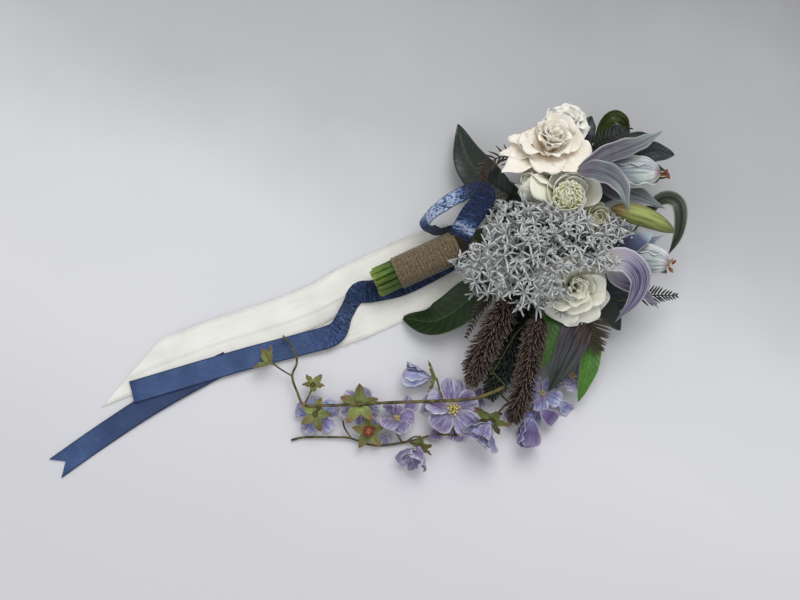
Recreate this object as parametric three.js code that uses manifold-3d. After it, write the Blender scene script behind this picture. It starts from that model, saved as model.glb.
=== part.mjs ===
// A hand-tied bridal bouquet lying on its side, in millimetres, +Z up.
// Silk blooms, leaves, fern fronds and a blossom vine fan out of a bundle of cut stems, which is wrapped
// in jute twine and tied with a blue velvet ribbon and two strips of ivory chiffon.
// Places are plan coordinates: +X runs from the cut stems towards the blooms and z is the height over the
// surface that the bouquet lies on. The last lines move the origin to the middle of its footprint.
import * as THREE from 'three';
import { mergeVertices } from 'three/addons/utils/BufferGeometryUtils.js';
import Module from 'manifold-3d';

const wasm = await Module();
wasm.setup();

// Driving dimensions.
const stemEnd = [-26, 15, 24]; // middle of the cut ends
const tiePoint = [85, 63, 40]; // middle of the neck, where the ribbons are tied
const stemRadius = 3.2;
const stemRootRadius = 2.4;
const stemPitch = 6.6;
const bundleRadius = 2 * stemPitch + stemRadius;
const twineThickness = 1.9;
const ribbonWidth = 25;
const ribbonThickness = 0.8;
const chiffonWidth = 46;
const chiffonThickness = 0.7;
const leafThickness = 1.3;
const petalThickness = 1.4;
const branchRadius = 1.8;
const twigFootRadius = 0.75; // so that a twig's foot stays inside the stem that bears it
const twigRadius = 1.3;
const seat = 0.35; // clearance between a piece and the one that carries it

const colours = {
  stem: ['#6f8f35', 0.6],
  twine: ['#8d7a62', 0.95],
  velvet: ['#33466f', 0.45],
  chiffon: ['#e9ebe2', 0.85],
  cream: ['#f1e6d8', 0.7],
  ivory: ['#eceadb', 0.7],
  pistachio: ['#dfe3bd', 0.7],
  lilac: ['#a9a3b8', 0.65],
  stamen: ['#b9a64a', 0.6],
  silver: ['#b7bcbc', 0.9],
  darkLeaf: ['#26332a', 0.5],
  greenLeaf: ['#2f6a24', 0.45],
  oliveLeaf: ['#76803a', 0.5],
  plumLeaf: ['#544f58', 0.5],
  tealLeaf: ['#1f3334', 0.5],
  bronze: ['#4b3a30', 0.8],
  blackFern: ['#221c19', 0.8],
  vine: ['#6a6f35', 0.7],
  blossom: ['#8d86c4', 0.6],
  berry: ['#b3243c', 0.4],
};

const vector = (p) => new THREE.Vector3(...p);
const radians = THREE.MathUtils.degToRad;
const bouquet = new THREE.Group();
const made = new Map(); // node name to solid, in plan coordinates

// Closed geometry to solid: merged vertices, with the triangles that merging collapsed left out.
function solidOf(geometry) {
  const bare = geometry.index ? geometry.toNonIndexed() : geometry.clone();
  for (const name of Object.keys(bare.attributes)) if (name !== 'position') bare.deleteAttribute(name);
  const merged = mergeVertices(bare, 1e-3);
  const corners = merged.index.array;
  const kept = [];
  for (let i = 0; i < corners.length; i += 3) {
    const [a, b, c] = [corners[i], corners[i + 1], corners[i + 2]];
    if (a !== b && b !== c && c !== a) kept.push(a, b, c);
  }
  return new wasm.Manifold(
    new wasm.Mesh({
      numProp: 3,
      vertProperties: merged.attributes.position.array,
      triVerts: new Uint32Array(kept),
    }),
  );
}

function geometryOf(solid) {
  const mesh = solid.getMesh();
  const geometry = new THREE.BufferGeometry();
  geometry.setAttribute('position', new THREE.BufferAttribute(new Float32Array(mesh.vertProperties), 3));
  geometry.setIndex(new THREE.BufferAttribute(new Uint32Array(mesh.triVerts), 1));
  geometry.computeVertexNormals();
  return geometry;
}

// Joins solids; a loose scrap that touches nothing is dropped.
function fuse(solids) {
  const whole = wasm.Manifold.union(solids);
  const bodies = whole.decompose();
  return bodies.reduce((best, body) => (body.volume() > best.volume() ? body : best));
}

function touches(a, b) {
  return a.intersect(b).volume() > 0;
}

function boxesMeet(a, b) {
  const [p, q] = [a.boundingBox(), b.boundingBox()];
  return [0, 1, 2].every((i) => p.min[i] < q.max[i] && q.min[i] < p.max[i]);
}

// True if a repeat stays out of every node made so far.
function isClear(solid) {
  for (const other of made.values()) if (boxesMeet(solid, other) && touches(solid, other)) return false;
  return true;
}

function addNode(name, solid, colour) {
  made.set(name, solid);
  const [tint, roughness] = colours[colour];
  const mesh = new THREE.Mesh(
    geometryOf(solid),
    new THREE.MeshStandardMaterial({ color: tint, roughness, metalness: 0 }),
  );
  mesh.name = name;
  bouquet.add(mesh);
}

// Lowers or lifts a solid so that its lowest point is on the surface.
function laidDown(solid) {
  return solid.translate([0, 0, -solid.boundingBox().min[2]]);
}

// Rib along a smooth curve through points. Each station has its place, sideways and upward directions.
function ribAlong(points, up, rollDegrees = [0, 0]) {
  const curve = new THREE.CatmullRomCurve3(points.map(vector), false, 'catmullrom', 0.5);
  const upward = vector(up).normalize();
  return (v) => {
    const along = curve.getTangent(v);
    const side = new THREE.Vector3().crossVectors(along, upward).normalize();
    side.applyAxisAngle(along, radians(rollDegrees[0] + (rollDegrees[1] - rollDegrees[0]) * v));
    const normal = new THREE.Vector3().crossVectors(side, along).normalize();
    return { place: curve.getPoint(v), along, side, normal };
  };
}

// Where a bloom stands: its base, the direction that it faces, and its turn about that direction.
function standing(base, facing, turnDegrees = 0) {
  const axis = vector(facing).normalize();
  const across = new THREE.Vector3(0, 1, 0).cross(axis);
  if (across.length() < 1e-3) across.set(1, 0, 0);
  across.normalize().applyAxisAngle(axis, radians(turnDegrees));
  const other = new THREE.Vector3().crossVectors(axis, across);
  return { base: vector(base), axis, across, other };
}

// Rib of a petal that leaves the bloom's axis at one angle and turns evenly to another on its way to the
// tip.
function ribArched(stand, azimuth, foot, rise, length, open, rollDegrees = 0) {
  const [from, to] = open.map(radians);
  const turn = Math.abs(to - from) < 1e-4 ? 1e-4 : to - from;
  const outward = stand.across.clone().multiplyScalar(Math.cos(azimuth));
  outward.addScaledVector(stand.other, Math.sin(azimuth));
  const sideways = new THREE.Vector3().crossVectors(outward, stand.axis);
  return (v) => {
    const angle = from + turn * v;
    const out = foot + (length * (Math.cos(from) - Math.cos(angle))) / turn;
    const high = rise + (length * (Math.sin(angle) - Math.sin(from))) / turn;
    const place = stand.base.clone().addScaledVector(outward, out).addScaledVector(stand.axis, high);
    const along = outward.clone().multiplyScalar(Math.sin(angle));
    along.addScaledVector(stand.axis, Math.cos(angle));
    const side = sideways.clone().applyAxisAngle(along, radians(rollDegrees));
    const normal = new THREE.Vector3().crossVectors(side, along).normalize();
    return { place, along, side, normal };
  };
}

// Share of the full width at v: pointed at both ends and widest at lean / (lean + tip).
function outlineAt(v, lean, tip) {
  const widest = lean / (lean + tip);
  return (v / widest) ** lean * ((1 - v) / (1 - widest)) ** tip;
}

// Point of a blade: the cross-section is an arc of the cup radius.
function bladePoint(rib, shape, u, v) {
  const { place, along, side, normal } = rib(v);
  const reach = u * shape.halfWidth * shape.outline(v);
  const bend = shape.cupRadius ? reach / shape.cupRadius : 0;
  const out = shape.cupRadius ? shape.cupRadius * Math.sin(bend) : reach;
  const lift = shape.cupRadius ? shape.cupRadius * (1 - Math.cos(bend)) : 0;
  const point = place.clone().addScaledVector(side, out).addScaledVector(normal, lift);
  return point.addScaledVector(along, (shape.sweep ?? 0) * Math.abs(reach));
}

// Closed thin solid between two copies of a surface, half its thickness to either side. Where the
// thickness is nothing the copies share their edge. Both faces are split into triangles alike.
// A blunt blade has its rows closer together towards the tip.
function skinSolid(point, rows, cols, thickness, blunt = false) {
  const step = 1e-3;
  const stations = Array.from({ length: rows + 1 }, (_, i) => i / rows);
  if (blunt) stations.forEach((v, i) => (stations[i] = Math.sin((v * Math.PI) / 2)));
  const faces = [1, -1].map((sign) => {
    const grid = [];
    for (let i = 0; i <= rows; i++) {
      for (let j = 0; j <= cols; j++) {
        const [u, v] = [(2 * j) / cols - 1, stations[i]];
        const middle = point(u, v);
        const half = (sign * thickness(u, v)) / 2;
        if (half) {
          const [v0, v1] = [Math.max(0, v - step), Math.min(1, v + step)];
          const [u0, u1] = [Math.max(-1, u - step), Math.min(1, u + step)];
          const across = point(u1, v).sub(point(u0, v));
          const along = point(u, v1).sub(point(u, v0));
          middle.addScaledVector(across.cross(along).normalize(), half);
        }
        grid.push(middle.toArray());
      }
    }
    return grid;
  });
  const corners = [];
  const at = (face, i, j) => faces[face][i * (cols + 1) + j];
  const put = (...points) => points.forEach((p) => corners.push(...p));
  for (let i = 0; i < rows; i++) {
    for (let j = 0; j < cols; j++) {
      const [a, b, c, d] = [[i, j], [i, j + 1], [i + 1, j + 1], [i + 1, j]];
      put(at(0, ...a), at(0, ...b), at(0, ...c), at(0, ...a), at(0, ...c), at(0, ...d));
      put(at(1, ...a), at(1, ...c), at(1, ...b), at(1, ...a), at(1, ...d), at(1, ...c));
    }
  }
  const wall = (a, b) => put(at(0, ...a), at(1, ...a), at(1, ...b), at(0, ...a), at(1, ...b),
    at(0, ...b));
  for (let j = 0; j < cols; j++) {
    wall([0, j], [0, j + 1]);
    wall([rows, j + 1], [rows, j]);
  }
  for (let i = 0; i < rows; i++) {
    wall([i + 1, 0], [i, 0]);
    wall([i, cols], [i + 1, cols]);
  }
  const geometry = new THREE.BufferGeometry();
  geometry.setAttribute('position', new THREE.Float32BufferAttribute(corners, 3));
  return solidOf(geometry);
}

// Leaf or petal: thick along its rib and thin at its edges.
function blade(rib, shape) {
  const outline = (v) => outlineAt(v, shape.lean ?? 0.6, shape.tip ?? 0.8);
  const full = { outline, ...shape };
  const thickness = (u, v) => (v <= 0 || v >= 1 ? 0 : (shape.thick ?? leafThickness) * (1 - u * u));
  const point = (u, v) => bladePoint(rib, full, u, v);
  return skinSolid(point, shape.rows ?? 4, shape.cols ?? 2, thickness, shape.blunt);
}

// Fern frond: one thin blade whose outline is cut to the rib between its leaflets, which lean forwards.
function frond(points, up, halfWidth, leaflets, rollDegrees) {
  const rows = 2 * leaflets;
  const envelope = (v) => Math.min(1, 0.45 + 2.2 * v) * Math.min(1, 3.2 * (1 - v)) ** 0.7;
  const outline = (v) => (Math.round(v * rows) % 2 ? envelope(v) : 0.14 * envelope(v));
  return blade(ribAlong(points, up, rollDegrees), { halfWidth, outline, rows, sweep: 0.5, thick: 1.2 });
}

// Ribbon: a strip of one width and thickness along its path.
function strip(points, up, halfWidth, thick, rows, rollDegrees) {
  const shape = { halfWidth, outline: () => 1 };
  const rib = ribAlong(points, up, rollDegrees);
  return skinSolid((u, v) => bladePoint(rib, shape, u, v), rows, 1, () => thick);
}

// Closed tube along points. Its radius is a function of the place along it and of the angle round it.
function tube(points, radiusAt, sides, steps) {
  const curve = new THREE.CatmullRomCurve3(points.map(vector), false, 'catmullrom', 0.5);
  const start = curve.getTangent(0);
  let normal = new THREE.Vector3(0.31, 0.17, 0.93).cross(start).normalize();
  const rings = [];
  for (let i = 0; i <= steps; i++) {
    const [v, along] = [i / steps, curve.getTangent(i / steps)];
    normal = normal.clone().addScaledVector(along, -normal.dot(along)).normalize();
    const other = new THREE.Vector3().crossVectors(along, normal);
    rings.push(
      Array.from({ length: sides }, (_, k) => {
        const angle = (2 * Math.PI * k) / sides;
        const radius = radiusAt(v, angle);
        const point = curve.getPoint(v).addScaledVector(normal, radius * Math.cos(angle));
        return point.addScaledVector(other, radius * Math.sin(angle)).toArray();
      }),
    );
  }
  const corners = [];
  const put = (...list) => list.forEach((p) => corners.push(...p));
  for (let i = 0; i < steps; i++) {
    for (let k = 0; k < sides; k++) {
      const next = (k + 1) % sides;
      const [a, b, c, d] = [rings[i][k], rings[i][next], rings[i + 1][next], rings[i + 1][k]];
      put(a, b, c, a, c, d);
    }
  }
  for (let k = 1; k < sides - 1; k++) {
    put(rings[0][0], rings[0][k + 1], rings[0][k]);
    put(rings[steps][0], rings[steps][k], rings[steps][k + 1]);
  }
  const geometry = new THREE.BufferGeometry();
  geometry.setAttribute('position', new THREE.Float32BufferAttribute(corners, 3));
  return solidOf(geometry);
}

// Stem whose radius runs evenly from the first value to the second.
function stem(points, radii, sides = 5, steps = 6) {
  return tube(points, (v) => radii[0] + (radii[1] - radii[0]) * v, sides, steps);
}

// Ball squashed to three radii: a bud, a berry or the heart of a bloom.
function ball(centre, radii, detail = 1) {
  const geometry = new THREE.IcosahedronGeometry(1, detail);
  return solidOf(geometry).scale(radii).translate(centre);
}

function bead(centre, radii) {
  return solidOf(new THREE.OctahedronGeometry(1)).scale(radii).translate(centre);
}

function turned(solid, stand) {
  const matrix = new THREE.Matrix4().makeBasis(stand.across, stand.other, stand.axis);
  matrix.setPosition(stand.base);
  return solid.transform(matrix.toArray());
}

// One ring of petals round a bloom's axis: either spread evenly, or each with its own turn and length.
function whorl(stand, ring) {
  const even = Array.from({ length: ring.count ?? 0 }, (_, k) => [ring.start + (360 * k) / ring.count]);
  return (ring.petals ?? even).map(([turn, length = ring.length]) => {
    const [foot, rise, roll] = [ring.foot ?? 2, ring.rise ?? 0, ring.roll ?? 8];
    const rib = ribArched(stand, radians(turn), foot, rise, length, ring.open, roll);
    return blade(rib, { thick: petalThickness, rows: 3, cols: 4, blunt: true, ...ring });
  });
}

function bloom(base, facing, turn, rings, heart) {
  const stand = standing(base, facing, turn);
  const core = turned(ball([0, 0, heart.height], [heart.radius, heart.radius, heart.height], 0), stand);
  return fuse([core, ...rings.flatMap((ring) => whorl(stand, ring))]);
}

// Leaf along points from its stalk to its tip.
function leaf(points, halfWidth, shape = {}) {
  const rib = ribAlong(points, shape.up ?? [0, 0, 1], shape.rollDegrees);
  return blade(rib, { halfWidth, rows: 5, ...shape });
}

// Cuts off what would be under the surface.
function trimmed(solid) {
  const { min, max } = solid.boundingBox();
  const slab = new THREE.BoxGeometry(max[0] - min[0] + 10, max[1] - min[1] + 10, 20);
  slab.translate((min[0] + max[0]) / 2, (min[1] + max[1]) / 2, -10);
  return solid.subtract(solidOf(slab));
}

// Sinks a solid a little into the surface, so that it rests on a flat spot.
function rested(solid, sunk) {
  return trimmed(laidDown(solid).translate([0, 0, -sunk]));
}

const handleAxis = vector(tiePoint).sub(vector(stemEnd)).normalize();
const alongHandle = (distance) => vector(stemEnd).addScaledVector(handleAxis, distance).toArray();

// Ends of the stems: each is the foot of a piece and the direction from which its stem comes to it.
const stemTips = [];

function carried(foot, from) {
  stemTips.push({ foot: vector(foot), from: vector(from).normalize() });
}

function addBloom(name, colour, base, facing, turn, rings, heart) {
  addNode(name, bloom(base, facing, turn, rings, heart), colour);
  carried(base, facing.map((x) => -x));
}

function addLeaf(name, colour, points, halfWidth, shape = {}) {
  addNode(name, leaf(points, halfWidth, shape), colour);
  carried(points[0], points[0].map((x, i) => x - points[1][i]));
}

// Blooms.

addBloom('rose_cream', 'cream', [158, 144, 64], [0.1, 0.2, 0.97], 0, [
  {
    petals: [[180, 52], [208, 54], [242, 38], [284, 30], [328, 34], [15, 36], [65, 34], [120, 36]],
    open: [62, 100], halfWidth: 18, cupRadius: 44, lean: 0.8, tip: 0.36, rise: 5, foot: 4, cols: 2,
    roll: 15,
  },
  {
    count: 5, start: 20, length: 40, open: [46, 66], halfWidth: 20, cupRadius: 32, lean: 0.8, tip: 0.3,
    rise: 9,
    cols: 2, roll: 15,
  },
  {
    count: 4, start: 60, length: 36, open: [30, 16], halfWidth: 16, cupRadius: 18, lean: 0.7, tip: 0.3,
    rise: 12,
    cols: 2, roll: 14,
  },
  { count: 2, start: 10, length: 34, open: [10, 2], halfWidth: 10, cupRadius: 8, lean: 0.5, tip: 0.3,
    rise: 12, cols: 2 },
], { radius: 8, height: 12 });

addBloom('bloom_ruffled', 'ivory', [184, 176, 36], [0.0, 0.5, 0.86], 20, [
  {
    count: 6, start: 0, length: 28, open: [40, 84], halfWidth: 13, cupRadius: 30, lean: 0.8, tip: 0.3,
    rise: 4,
    cols: 2, roll: 16,
  },
  {
    count: 4, start: 25, length: 28, open: [14, 46], halfWidth: 12, cupRadius: 18, lean: 0.8, tip: 0.3,
    rise: 8,
    cols: 2, roll: 14,
  },
], { radius: 7, height: 9 });

addBloom('bud_white', 'ivory', [161, 94.5, 55.2], [-0.74, 0.29, 0.6], 0, [
  { count: 3, start: 0, length: 48, open: [40, -26], halfWidth: 17, cupRadius: 20, lean: 0.7, tip: 0.38,
    cols: 2, roll: 22 },
  { count: 2, start: 60, length: 42, open: [22, -18], halfWidth: 11, cupRadius: 14, lean: 0.7, tip: 0.38,
    rise: 5, cols: 2 },
], { radius: 8, height: 12 });

addBloom('ranunculus_guard', 'ivory', [179, 94, 69], [-0.06, 0.06, 0.99], 0, [
  {
    petals: [[-60], [-130], [160], [95]], length: 38, open: [76, -10], halfWidth: 17, cupRadius: 21,
    lean: 0.7,
    tip: 0.32, cols: 2, roll: 16,
  },
  { petals: [[15]], length: 44, open: [70, 30], halfWidth: 17, cupRadius: 24, lean: 0.8, tip: 0.32,
    cols: 2, roll: 0 },
], { radius: 8, height: 3.6 });

// Heart of the ranunculus: small petals in rings on a ball, standing out of it.
{
  const stand = standing([178.2, 94.8, 88.4], [-0.06, 0.06, 0.99]);
  const ballRadius = 12.4;
  const rings = [[3, 18, 0], [6, 52, 20]];
  const petals = rings.flatMap(([count, polar, start]) =>
    Array.from({ length: count }, (_, k) => {
      const [azimuth, tilt] = [radians(start + (360 * k) / count), radians(polar)];
      const [foot, rise] = [(ballRadius - 2) * Math.sin(tilt), (ballRadius - 2) * Math.cos(tilt)];
      const rib = ribArched(stand, azimuth, foot, rise, 8, [polar - 60, polar - 80], 0);
      return blade(rib, { halfWidth: 4.6, lean: 0.6, tip: 0.4, rows: 2, thick: 1.6 });
    }),
  );
  const core = turned(ball([0, 0, 0], [ballRadius, ballRadius, ballRadius]), stand);
  addNode('ranunculus_heart', fuse([core, ...petals]), 'pistachio');
}

addBloom('bloom_pistachio', 'pistachio', [208, 74, 60], [0.1, 0.04, 0.98], 15, [
  { count: 4, start: 0, length: 31, open: [58, -6], halfWidth: 13, cupRadius: 14, lean: 0.6, tip: 0.34,
    cols: 2 },
], { radius: 8, height: 10 });

addBloom('rose_white', 'ivory', [184, 8, 48], [0.06, -0.26, 0.96], 0, [
  {
    count: 5, start: 250, length: 37, open: [60, 94], halfWidth: 19, cupRadius: 36, lean: 0.8, tip: 0.34,
    rise: 5,
    foot: 3, cols: 2, roll: 16,
  },
  {
    count: 4, start: 286, length: 33, open: [36, 60], halfWidth: 16, cupRadius: 24, lean: 0.75, tip: 0.32,
    rise: 9,
    foot: 3, cols: 2, roll: 14,
  },
  { count: 2, start: 30, length: 30, open: [14, 10], halfWidth: 11, cupRadius: 11, lean: 0.5, tip: 0.3,
    rise: 11, cols: 2 },
], { radius: 8, height: 10 });

// Lilies: a closed bell of petals with more thrown back round its mouth, and stamens out of the bell.
function addLily(name, base, facing, bell, thrown) {
  const stand = standing(base, facing);
  const petals = thrown.map(([points, halfWidth, up, rollDegrees]) => {
    const inside = base.map((x, i) => x + 9 * stand.axis.getComponent(i));
    const rib = ribAlong([inside, ...points], up, rollDegrees);
    return blade(rib, { halfWidth, cupRadius: halfWidth * 1.6, lean: 0.8, tip: 0.62, rows: 4,
      thick: 1.5 });
  });
  const core = turned(ball([0, 0, 14.5], [5, 5, 14], 0), stand);
  addNode(`${name}_petals`, fuse([core, ...whorl(stand, bell), ...petals]), 'lilac');
  carried(base, facing.map((x) => -x));
  const foot = stand.base.clone().addScaledVector(stand.axis, 28.9).toArray(); // on the core's tip
  const heads = [0, 1, 2].flatMap((k) => {
    const angle = (2 * Math.PI * k) / 3;
    const tip = stand.base.clone().addScaledVector(stand.axis, bell.length + 10 + 2 * k);
    tip.addScaledVector(stand.across, 5 * Math.cos(angle)).addScaledVector(stand.other,
      5 * Math.sin(angle));
    return [stem([foot, tip.toArray()], [0.9, 0.8], 3, 1), bead(tip.toArray(), [3, 2.3, 2.3])];
  });
  addNode(`${name}_stamens`, fuse([bead(foot, [2.2, 2.2, 2.2]), ...heads]), 'stamen');
}

addLily('lily_upper', [202, 122, 86], [0.96, -0.06, 0.14], {
  petals: [[60], [180], [300]], length: 72, open: [22, -16], halfWidth: 17, cupRadius: 18, lean: 0.9,
  tip: 0.5, rise: 2,
  foot: 1.5, cols: 2, rows: 4, roll: 12,
}, [
  [[[223, 131, 104], [252, 145, 109], [281, 168, 96]], 11, [0, 0.3, 1]],
  [[[220, 113, 108], [233, 99, 119], [243, 84, 121], [249, 73, 113]], 14, [0, 0, 1]],
  [[[226, 110, 78], [256, 99, 80], [288, 88, 72]], 9, [0, -0.4, 0.9]],
]);

addLily('lily_lower', [214, 34, 86], [0.95, -0.2, 0.12], {
  petals: [[60], [180], [300]], length: 68, open: [22, -15], halfWidth: 15, cupRadius: 16, lean: 0.9,
  tip: 0.5, rise: 2,
  foot: 1.5, cols: 2, rows: 4, roll: 12,
}, [
  [[[226, 26, 104], [241, 18, 112], [249, 2, 104], [244, -17, 84], [230, -35, 60]], 15, [0, 0, 1]],
  [[[220, 36, 104], [236, 46, 112], [250, 57, 102]], 10, [0, 0.3, 1]],
  [[[232, 36, 80], [256, 44, 84], [277, 54, 88]], 8, [0, 0.4, 0.9]],
  [[[228, 14, 70], [254, -2, 72], [275, -20, 62]], 8, [0, -0.4, 0.9]],
]);

// Closed lily bud: three broad ribs that run together at the tip.
{
  const points = [[229, 79, 92], [247, 73, 96], [270, 66, 96], [294, 58, 88]];
  const girth = (v, angle) => 10.5 * outlineAt(v, 0.6, 0.62) * (1 + 0.14 * Math.cos(3 * angle));
  addNode('lily_bud', tube(points, girth, 9, 7), 'oliveLeaf');
  carried(points[0], [-0.2, -0.5, -0.85]);
}

// Leaves round the head, from the top left clockwise.
addLeaf('leaf_dark_left', 'darkLeaf', [[124, 106, 46], [95, 128, 38], [76, 158, 28], [66, 200, 18]], 21,
  { cupRadius: 60, rollDegrees: [-10, -20], tip: 0.9, cols: 4 });
addLeaf('leaf_plum_top', 'plumLeaf', [[205, 160, 30], [208, 184, 40], [214, 202, 38]], 10,
  { cupRadius: 30 });
addLeaf('leaf_olive_top', 'oliveLeaf', [[219, 158, 34], [223, 180, 52], [232, 192, 64], [246, 191, 56],
  [253, 181, 44]], 8,
  { cupRadius: 16, rollDegrees: [0, 50] });
addLeaf('leaf_teal_right', 'tealLeaf', [[243, 140, 50], [270, 151, 64], [299, 150, 62]], 13,
  { cupRadius: 30 });
addLeaf('leaf_strap', 'plumLeaf', [[258, 72, 58], [280, 98, 68], [297, 90, 78], [298, 62, 72],
  [289, 40, 58]], 8,
  { cupRadius: 20, rollDegrees: [-20, 40] });
addLeaf('leaf_green_left', 'greenLeaf', [[103, 28, 36], [78, -2, 30], [40, -26, 18], [3, -21, 4]], 22,
  { cupRadius: 60, rollDegrees: [10, 25], tip: 0.7, lean: 0.6, cols: 4 });
addLeaf('leaf_green_low', 'greenLeaf', [[166, -4, 34], [173, -30, 42], [167, -62, 40], [154, -92, 27]],
  11,
  { cupRadius: 26, rollDegrees: [10, -20] });
addLeaf('leaf_plum_low', 'plumLeaf', [[196, -20, 34], [187, -46, 37], [175, -76, 33], [159, -106, 25]],
  15,
  { cupRadius: 44, cols: 4, tip: 0.9 });
addLeaf('leaf_green_right', 'greenLeaf', [[204, -20, 26], [212, -54, 26], [207, -86, 21],
  [195, -116, 14]], 14,
  { cupRadius: 30, rollDegrees: [0, -20], tip: 0.9 });
addLeaf('leaf_dark_low', 'darkLeaf', [[206, 2, 32], [224, -16, 34], [241, -38, 24]], 13,
  { cupRadius: 34 });

// Dark leaves under the head, which carry it.
const underLeaves = [
  ['leaf_under_left', [[146, 84, 20], [118, 112, 3], [88, 134, 5]], 26],
  ['leaf_under_right', [[190, 112, 20], [232, 136, 3], [276, 150, 6]], 24],
  ['leaf_under_middle', [[112, 60, 20], [172, 58, 3], [246, 66, 8]], 32],
  ['leaf_under_low', [[176, 14, 20], [226, 6, 3], [276, 14, 6]], 24],
  ['leaf_under_front', [[128, 20, 20], [152, -16, 3], [190, -52, 8]], 26],
];
for (const [name, points, halfWidth] of underLeaves) {
  addNode(name, rested(leaf(points, halfWidth, { cols: 4, rows: 4, cupRadius: 110, thick: 1.6 }), 0.35),
    'tealLeaf');
  const lowered = leaf(points, halfWidth, { cols: 4, rows: 4, cupRadius: 110,
    thick: 1.6 }).boundingBox().min[2] + 0.35;
  const foot = [points[0][0], points[0][1], points[0][2] - lowered];
  carried(foot, points[0].map((x, i) => x - points[1][i]));
}

// Fern fronds.
const fronds = [
  ['fern_dark_top', 'blackFern', [[206, 140, 68], [229, 153, 76], [262, 172, 66]], 13, 7],
  ['fern_bronze_left', 'bronze', [[146, 132, 44], [116, 150, 54], [94, 138, 56], [91, 122, 50]], 10, 8],
  ['fern_dark_right', 'blackFern', [[252, -6, 44], [274, -3, 46], [300, -2, 38]], 12, 6],
  ['fern_bronze_low', 'bronze', [[203, -34, 46], [208, -46, 44], [214, -66, 32]], 16, 7],
  ['fern_bronze_front', 'bronze', [[108, 8, 48], [88, -14, 44], [72, -46, 26]], 9, 8],
];
for (const [name, colour, points, halfWidth, leaflets] of fronds) {
  addNode(name, frond(points, [0, 0, 1], halfWidth, leaflets), colour);
  carried(points[0], points[0].map((x, i) => x - points[1][i]));
}

// Bottlebrush spray: a closed tube whose every face is drawn out into a needle that leans forwards.
function brush(points, rings, sides, reach, girth) {
  const rib = ribAlong(points, [0, 0, 1]);
  const size = (v) => Math.min(1, 0.6 + 2.4 * v) * Math.min(1, 0.35 + 2.4 * (1 - v));
  const around = (v, angle, radius) => {
    const { place, side, normal } = rib(v);
    place.addScaledVector(side, radius * Math.cos(angle));
    return place.addScaledVector(normal, radius * Math.sin(angle));
  };
  const ring = (i) =>
    Array.from({ length: sides }, (_, k) => {
      const v = i / rings;
      return around(v, (2 * Math.PI * (k + 0.5 * i)) / sides, girth * size(v)).toArray();
    });
  const all = Array.from({ length: rings + 1 }, (_, i) => ring(i));
  const corners = [];
  const put = (...list) => list.forEach((p) => corners.push(...p));
  for (let i = 0; i < rings; i++) {
    const v = (i + 0.5) / rings;
    for (let k = 0; k < sides; k++) {
      const next = (k + 1) % sides;
      const foot = [all[i][k], all[i][next], all[i + 1][next], all[i + 1][k]];
      const tip = around(v, (2 * Math.PI * (k + 0.5 * i + 0.75)) / sides, reach * size(v));
      tip.addScaledVector(rib(v).along, (reach - girth) * size(v));
      foot.forEach((corner, n) => put(foot[(n + 1) % 4], corner, tip.toArray()));
    }
  }
  for (let k = 1; k < sides - 1; k++) {
    put(all[0][0], all[0][k], all[0][k + 1]);
    put(all[rings][0], all[rings][k + 1], all[rings][k]);
  }
  const geometry = new THREE.BufferGeometry();
  geometry.setAttribute('position', new THREE.Float32BufferAttribute(corners, 3));
  return solidOf(geometry);
}

const brushes = [
  ['brush_left', 'bronze', [[120, -4, 58], [103, -36, 50], [88, -66, 38], [77, -97, 22]], 15, 7, 18, 8],
  ['brush_dark', 'blackFern', [[142, -6, 28], [125, -46, 25], [111, -80, 21], [97, -111, 16]], 14, 7, 14,
  7],
  ['brush_right', 'bronze', [[150, -26, 58], [142, -58, 50], [133, -100, 36], [123, -138, 18]], 16, 7, 16,
  7],
];
for (const [name, colour, points, rings, sides, reach, girth] of brushes) {
  addNode(name, brush(points, rings, sides, reach, girth), colour);
  carried(points[0], points[0].map((x, i) => x - points[1][i]));
}

// Handle: cut stems round a core, bound in twine that narrows to the neck.

const boundFrom = 24; // distances from the cut ends along the handle
const narrowFrom = 96;
const boundTo = 121;
const coreRadius = bundleRadius - 0.2;
const neckRadius = 8;

// A shape turned about the handle's axis, from a closed profile of [radius, distance] points.
function turnedOnHandle(profile, segments) {
  const geometry = new THREE.LatheGeometry(profile.map(([r, d]) => new THREE.Vector2(r, d)), segments);
  const lean = new THREE.Quaternion().setFromUnitVectors(new THREE.Vector3(0, 1, 0), handleAxis);
  geometry.applyQuaternion(lean);
  geometry.translate(...stemEnd);
  return solidOf(geometry);
}

// Stems round the middle one, as [ring radius, angle]: a ring of six and a ring of twelve.
function bundlePlaces() {
  const ring = (count, radius) =>
    Array.from({ length: count }, (_, k) => [radius, (2 * Math.PI * (k + 0.5)) / count]);
  return [[0, 0], ...ring(6, stemPitch), ...ring(12, 2 * stemPitch)];
}

addNode(
  'twine_binding',
  turnedOnHandle(
    [
      [bundleRadius + seat, boundFrom],
      [bundleRadius + seat + twineThickness - 0.5, boundFrom],
      [bundleRadius + seat + twineThickness, boundFrom + 3],
      [bundleRadius + seat + twineThickness, narrowFrom - 3],
      [neckRadius + seat + twineThickness, boundTo],
      [neckRadius + seat, boundTo],
      [bundleRadius + seat, narrowFrom - 8],
      [bundleRadius + seat, boundFrom],
    ],
    16,
  ),
  'twine',
);

// Ribbons. Each is laid over the one below it.

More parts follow.
